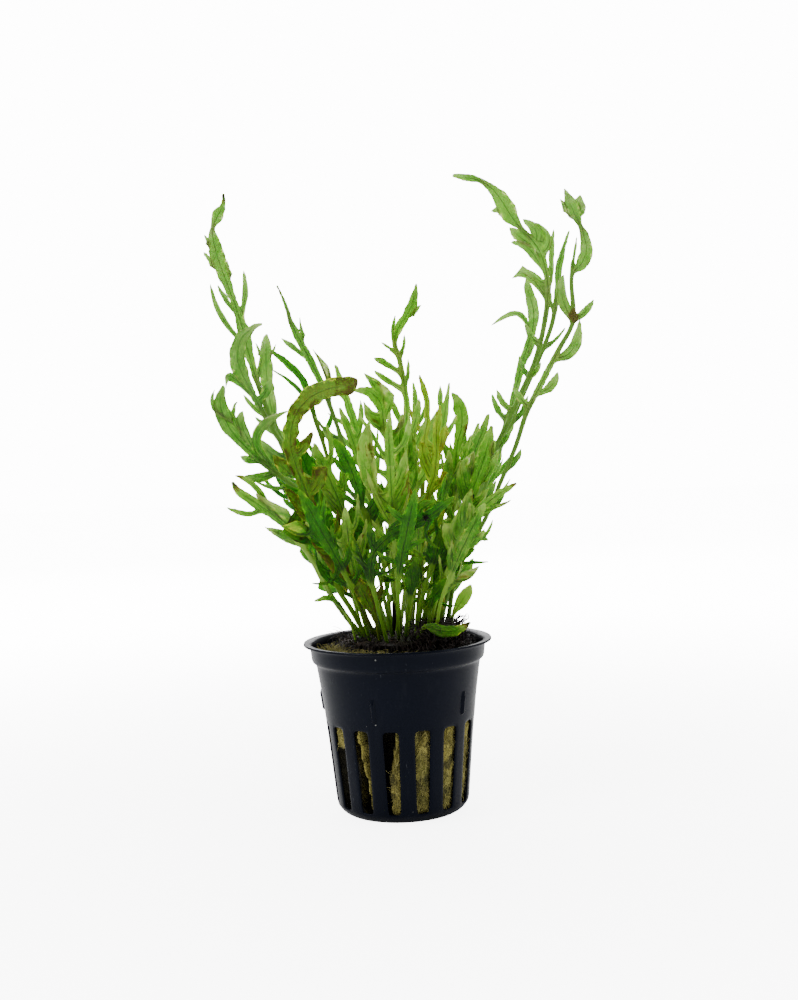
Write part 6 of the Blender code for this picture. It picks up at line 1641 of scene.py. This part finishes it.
def dress(leaf, facts, owner, buds, tint, browned):
    """Writes the cage's UV map and the values that the leaf material reads."""
    mesh = leaf.data
    count = len(mesh.vertices)
    sheet = mesh.uv_layers.get("UVMap") or mesh.uv_layers.new(name="UVMap")
    uv = np.zeros((len(mesh.loops), 2))
    for polygon in mesh.polygons:
        number = next((owner[i] for i in polygon.vertices if i in owner), None)
        for loop in polygon.loop_indices:
            i = mesh.loops[loop].vertex_index
            uv[loop] = facts[i][:2]
            if number is not None and i not in owner:
                reach = buds[number]["foot"]
                foot_uv = dict(zip(buds[number]["base"], ((reach, 0), (0, 0), (-reach, 0))))
                uv[loop] = foot_uv.get(i, facts[i][:2])
    sheet.data.foreach_set("uv", uv.ravel())
    spoilt = np.zeros(count)
    for x, z, reach, full in browned:
        for v in mesh.vertices:
            off = math.dist(seen_at(v.co / MM), (x, z))
            spoilt[v.index] = max(spoilt[v.index], full * (1 - smooth_step(0.2 * reach, reach, off)))
    own = random.Random(tint)
    tints = [own.uniform(-0.3, 0.3) for _ in buds]
    values = {label: [facts[i][k] for i in range(count)]
              for label, k in (("edge", 2), ("tip", 3), ("stalk_share", 4))}
    values["tint"] = [tint + (tints[owner[i]] if i in owner else 0.0) for i in range(count)]
    values["browned"] = spoilt
    for label, given in values.items():
        mesh.attributes.new(label, "FLOAT", "POINT").data.foreach_set("value", given)


def fray(leaf, seed):
    """Small teeth and nicks along the blade's margins."""
    mesh = leaf.data
    edges, stalks = (mesh.attributes[label].data for label in ("edge", "stalk_share"))
    for v, edge, stalk in zip(mesh.vertices, edges, stalks):
        if edge.value > 0.8 and stalk.value < 0.5:
            place = v.co / MM
            bite = noise.noise(place * 0.9 + Vector((seed, 0, 0))) + 0.8 * noise.noise(place * 2.1)
            v.co += v.normal * (TEETH * MM * bite * (1 - stalk.value))


def make_frond(name, spec, finish):
    """A frond: a strip laid up its midrib, lobes extruded from its sides, given thickness and smoothed."""
    route = Route(name, spec)
    lobes = lobes_of(name, spec, route) + extra_lobes(name, route)
    dice = random.Random(name + "leaf")
    places = ring_places(route, lobes)
    seed = dice.uniform(0, 50)
    deselect()
    bpy.ops.mesh.primitive_grid_add(x_subdivisions=2, y_subdivisions=len(places) - 1, size=1)
    leaf = bpy.context.object
    bpy.ops.object.mode_set(mode="EDIT")
    bm = bmesh.from_edit_mesh(leaf.data)
    facts, owner = {}, {}
    for v, (place, fact) in zip(bm.verts, blade_rings(name, route, places, seed)):
        v.co = place * MM
        facts[v.index] = fact
    bm.verts.ensure_lookup_table()
    buds = lobe_buds(bm, route, places, lobes, dice)
    if buds:
        pull_lobes(leaf, buds, seed, facts, owner)
    bmesh.update_edit_mesh(leaf.data)
    bpy.ops.object.mode_set(mode="OBJECT")
    dress(leaf, facts, owner, buds, dice.random(), BROWNED.get(name, ()))
    group = leaf.vertex_groups.new(name="stalk")
    for index, fact in facts.items():
        if fact[4] > 0:
            group.add([index], fact[4], "REPLACE")
    give_modifier(leaf, "SOLIDIFY", thickness=STALK_THICK * MM, offset=0, vertex_group="stalk",
                  thickness_vertex_group=BLADE_THICK / STALK_THICK)
    give_modifier(leaf, "SUBSURF", levels=1, render_levels=1)
    apply_modifiers(leaf)
    fray(leaf, seed)
    settle(leaf, SHOWN_NAMES.get(name, name.replace("frond", "fern")), finish, [name])


def make_scraps(finish):
    """Withered scraps of leaf: small knots of crumpled shreds."""
    dice = random.Random(53)
    runs = []
    for name, (x, z), size in WITHERED:
        route = Route(name, FRONDS[name])
        middle = route.point(route.nearest(x, z)) + Vector((0, -0.5 * size, 0))
        for _ in range(SHREDS):
            start = middle + Vector((dice.gauss(0, 0.36), dice.gauss(0, 0.3), dice.gauss(0, 0.2))) * size
            heading = (dice.gauss(0, 1), dice.gauss(0, 0.6), dice.gauss(0, 0.5))
            run = wander(dice, start, heading, size * dice.uniform(0.4, 1.1), 8, 0.9)
            runs.append((run, size * dice.uniform(0.06, 0.13), 0.05))
    settle(from_arrays("scraps", *threads(runs, 5)), "withered_scraps", finish, [])


def leaf_finish(name):
    """The kind of leaf material and the material slot of a frond."""
    if name in GREEN_ALL_OVER:
        return "leaf_light", "leaf_dark"
    if name in OLD_LEAVES:
        return ("leaf_yellow" if name in YELLOW_LEAVES else "leaf_old"), "leaf_old"
    if name in DEAD_LEAVES:
        return "leaf_dead", "leaf_dead"
    if name in DARK_LEAVES:
        return "leaf_dark", "leaf_dark"
    if name in YOUNG_LEAVES:
        return "leaf_young", "leaf_light"
    return ("leaf_outer" if name in OUTER_LEAVES else "leaf_light"), "leaf_light"


set_camera()
lay_floor()
for lamp in LAMPS:
    hang_lamp(*lamp)
light_world()
make_pot(plastic_material())
make_wool(wool_material(), thread_material("wool_threads", (0.11, 0.1, 0.02), (0.4, 0.36, 0.12), 0.9))
felt = felt_material()
make_mat(felt, thread_material("root_threads", (0.004, 0.0024, 0.0014), (0.03, 0.0135, 0.006), 0.6))
make_crumbs(felt)
make_crown(rootstock_material())
leaf_materials = {kind: leaf_material(kind) for kind in LEAF_KINDS}
for frond_name, frond_spec in FRONDS.items():
    kind, slot_name = leaf_finish(frond_name)
    make_frond(frond_name, frond_spec, leaf_materials[kind])
make_scraps(leaf_materials["leaf_dead"])
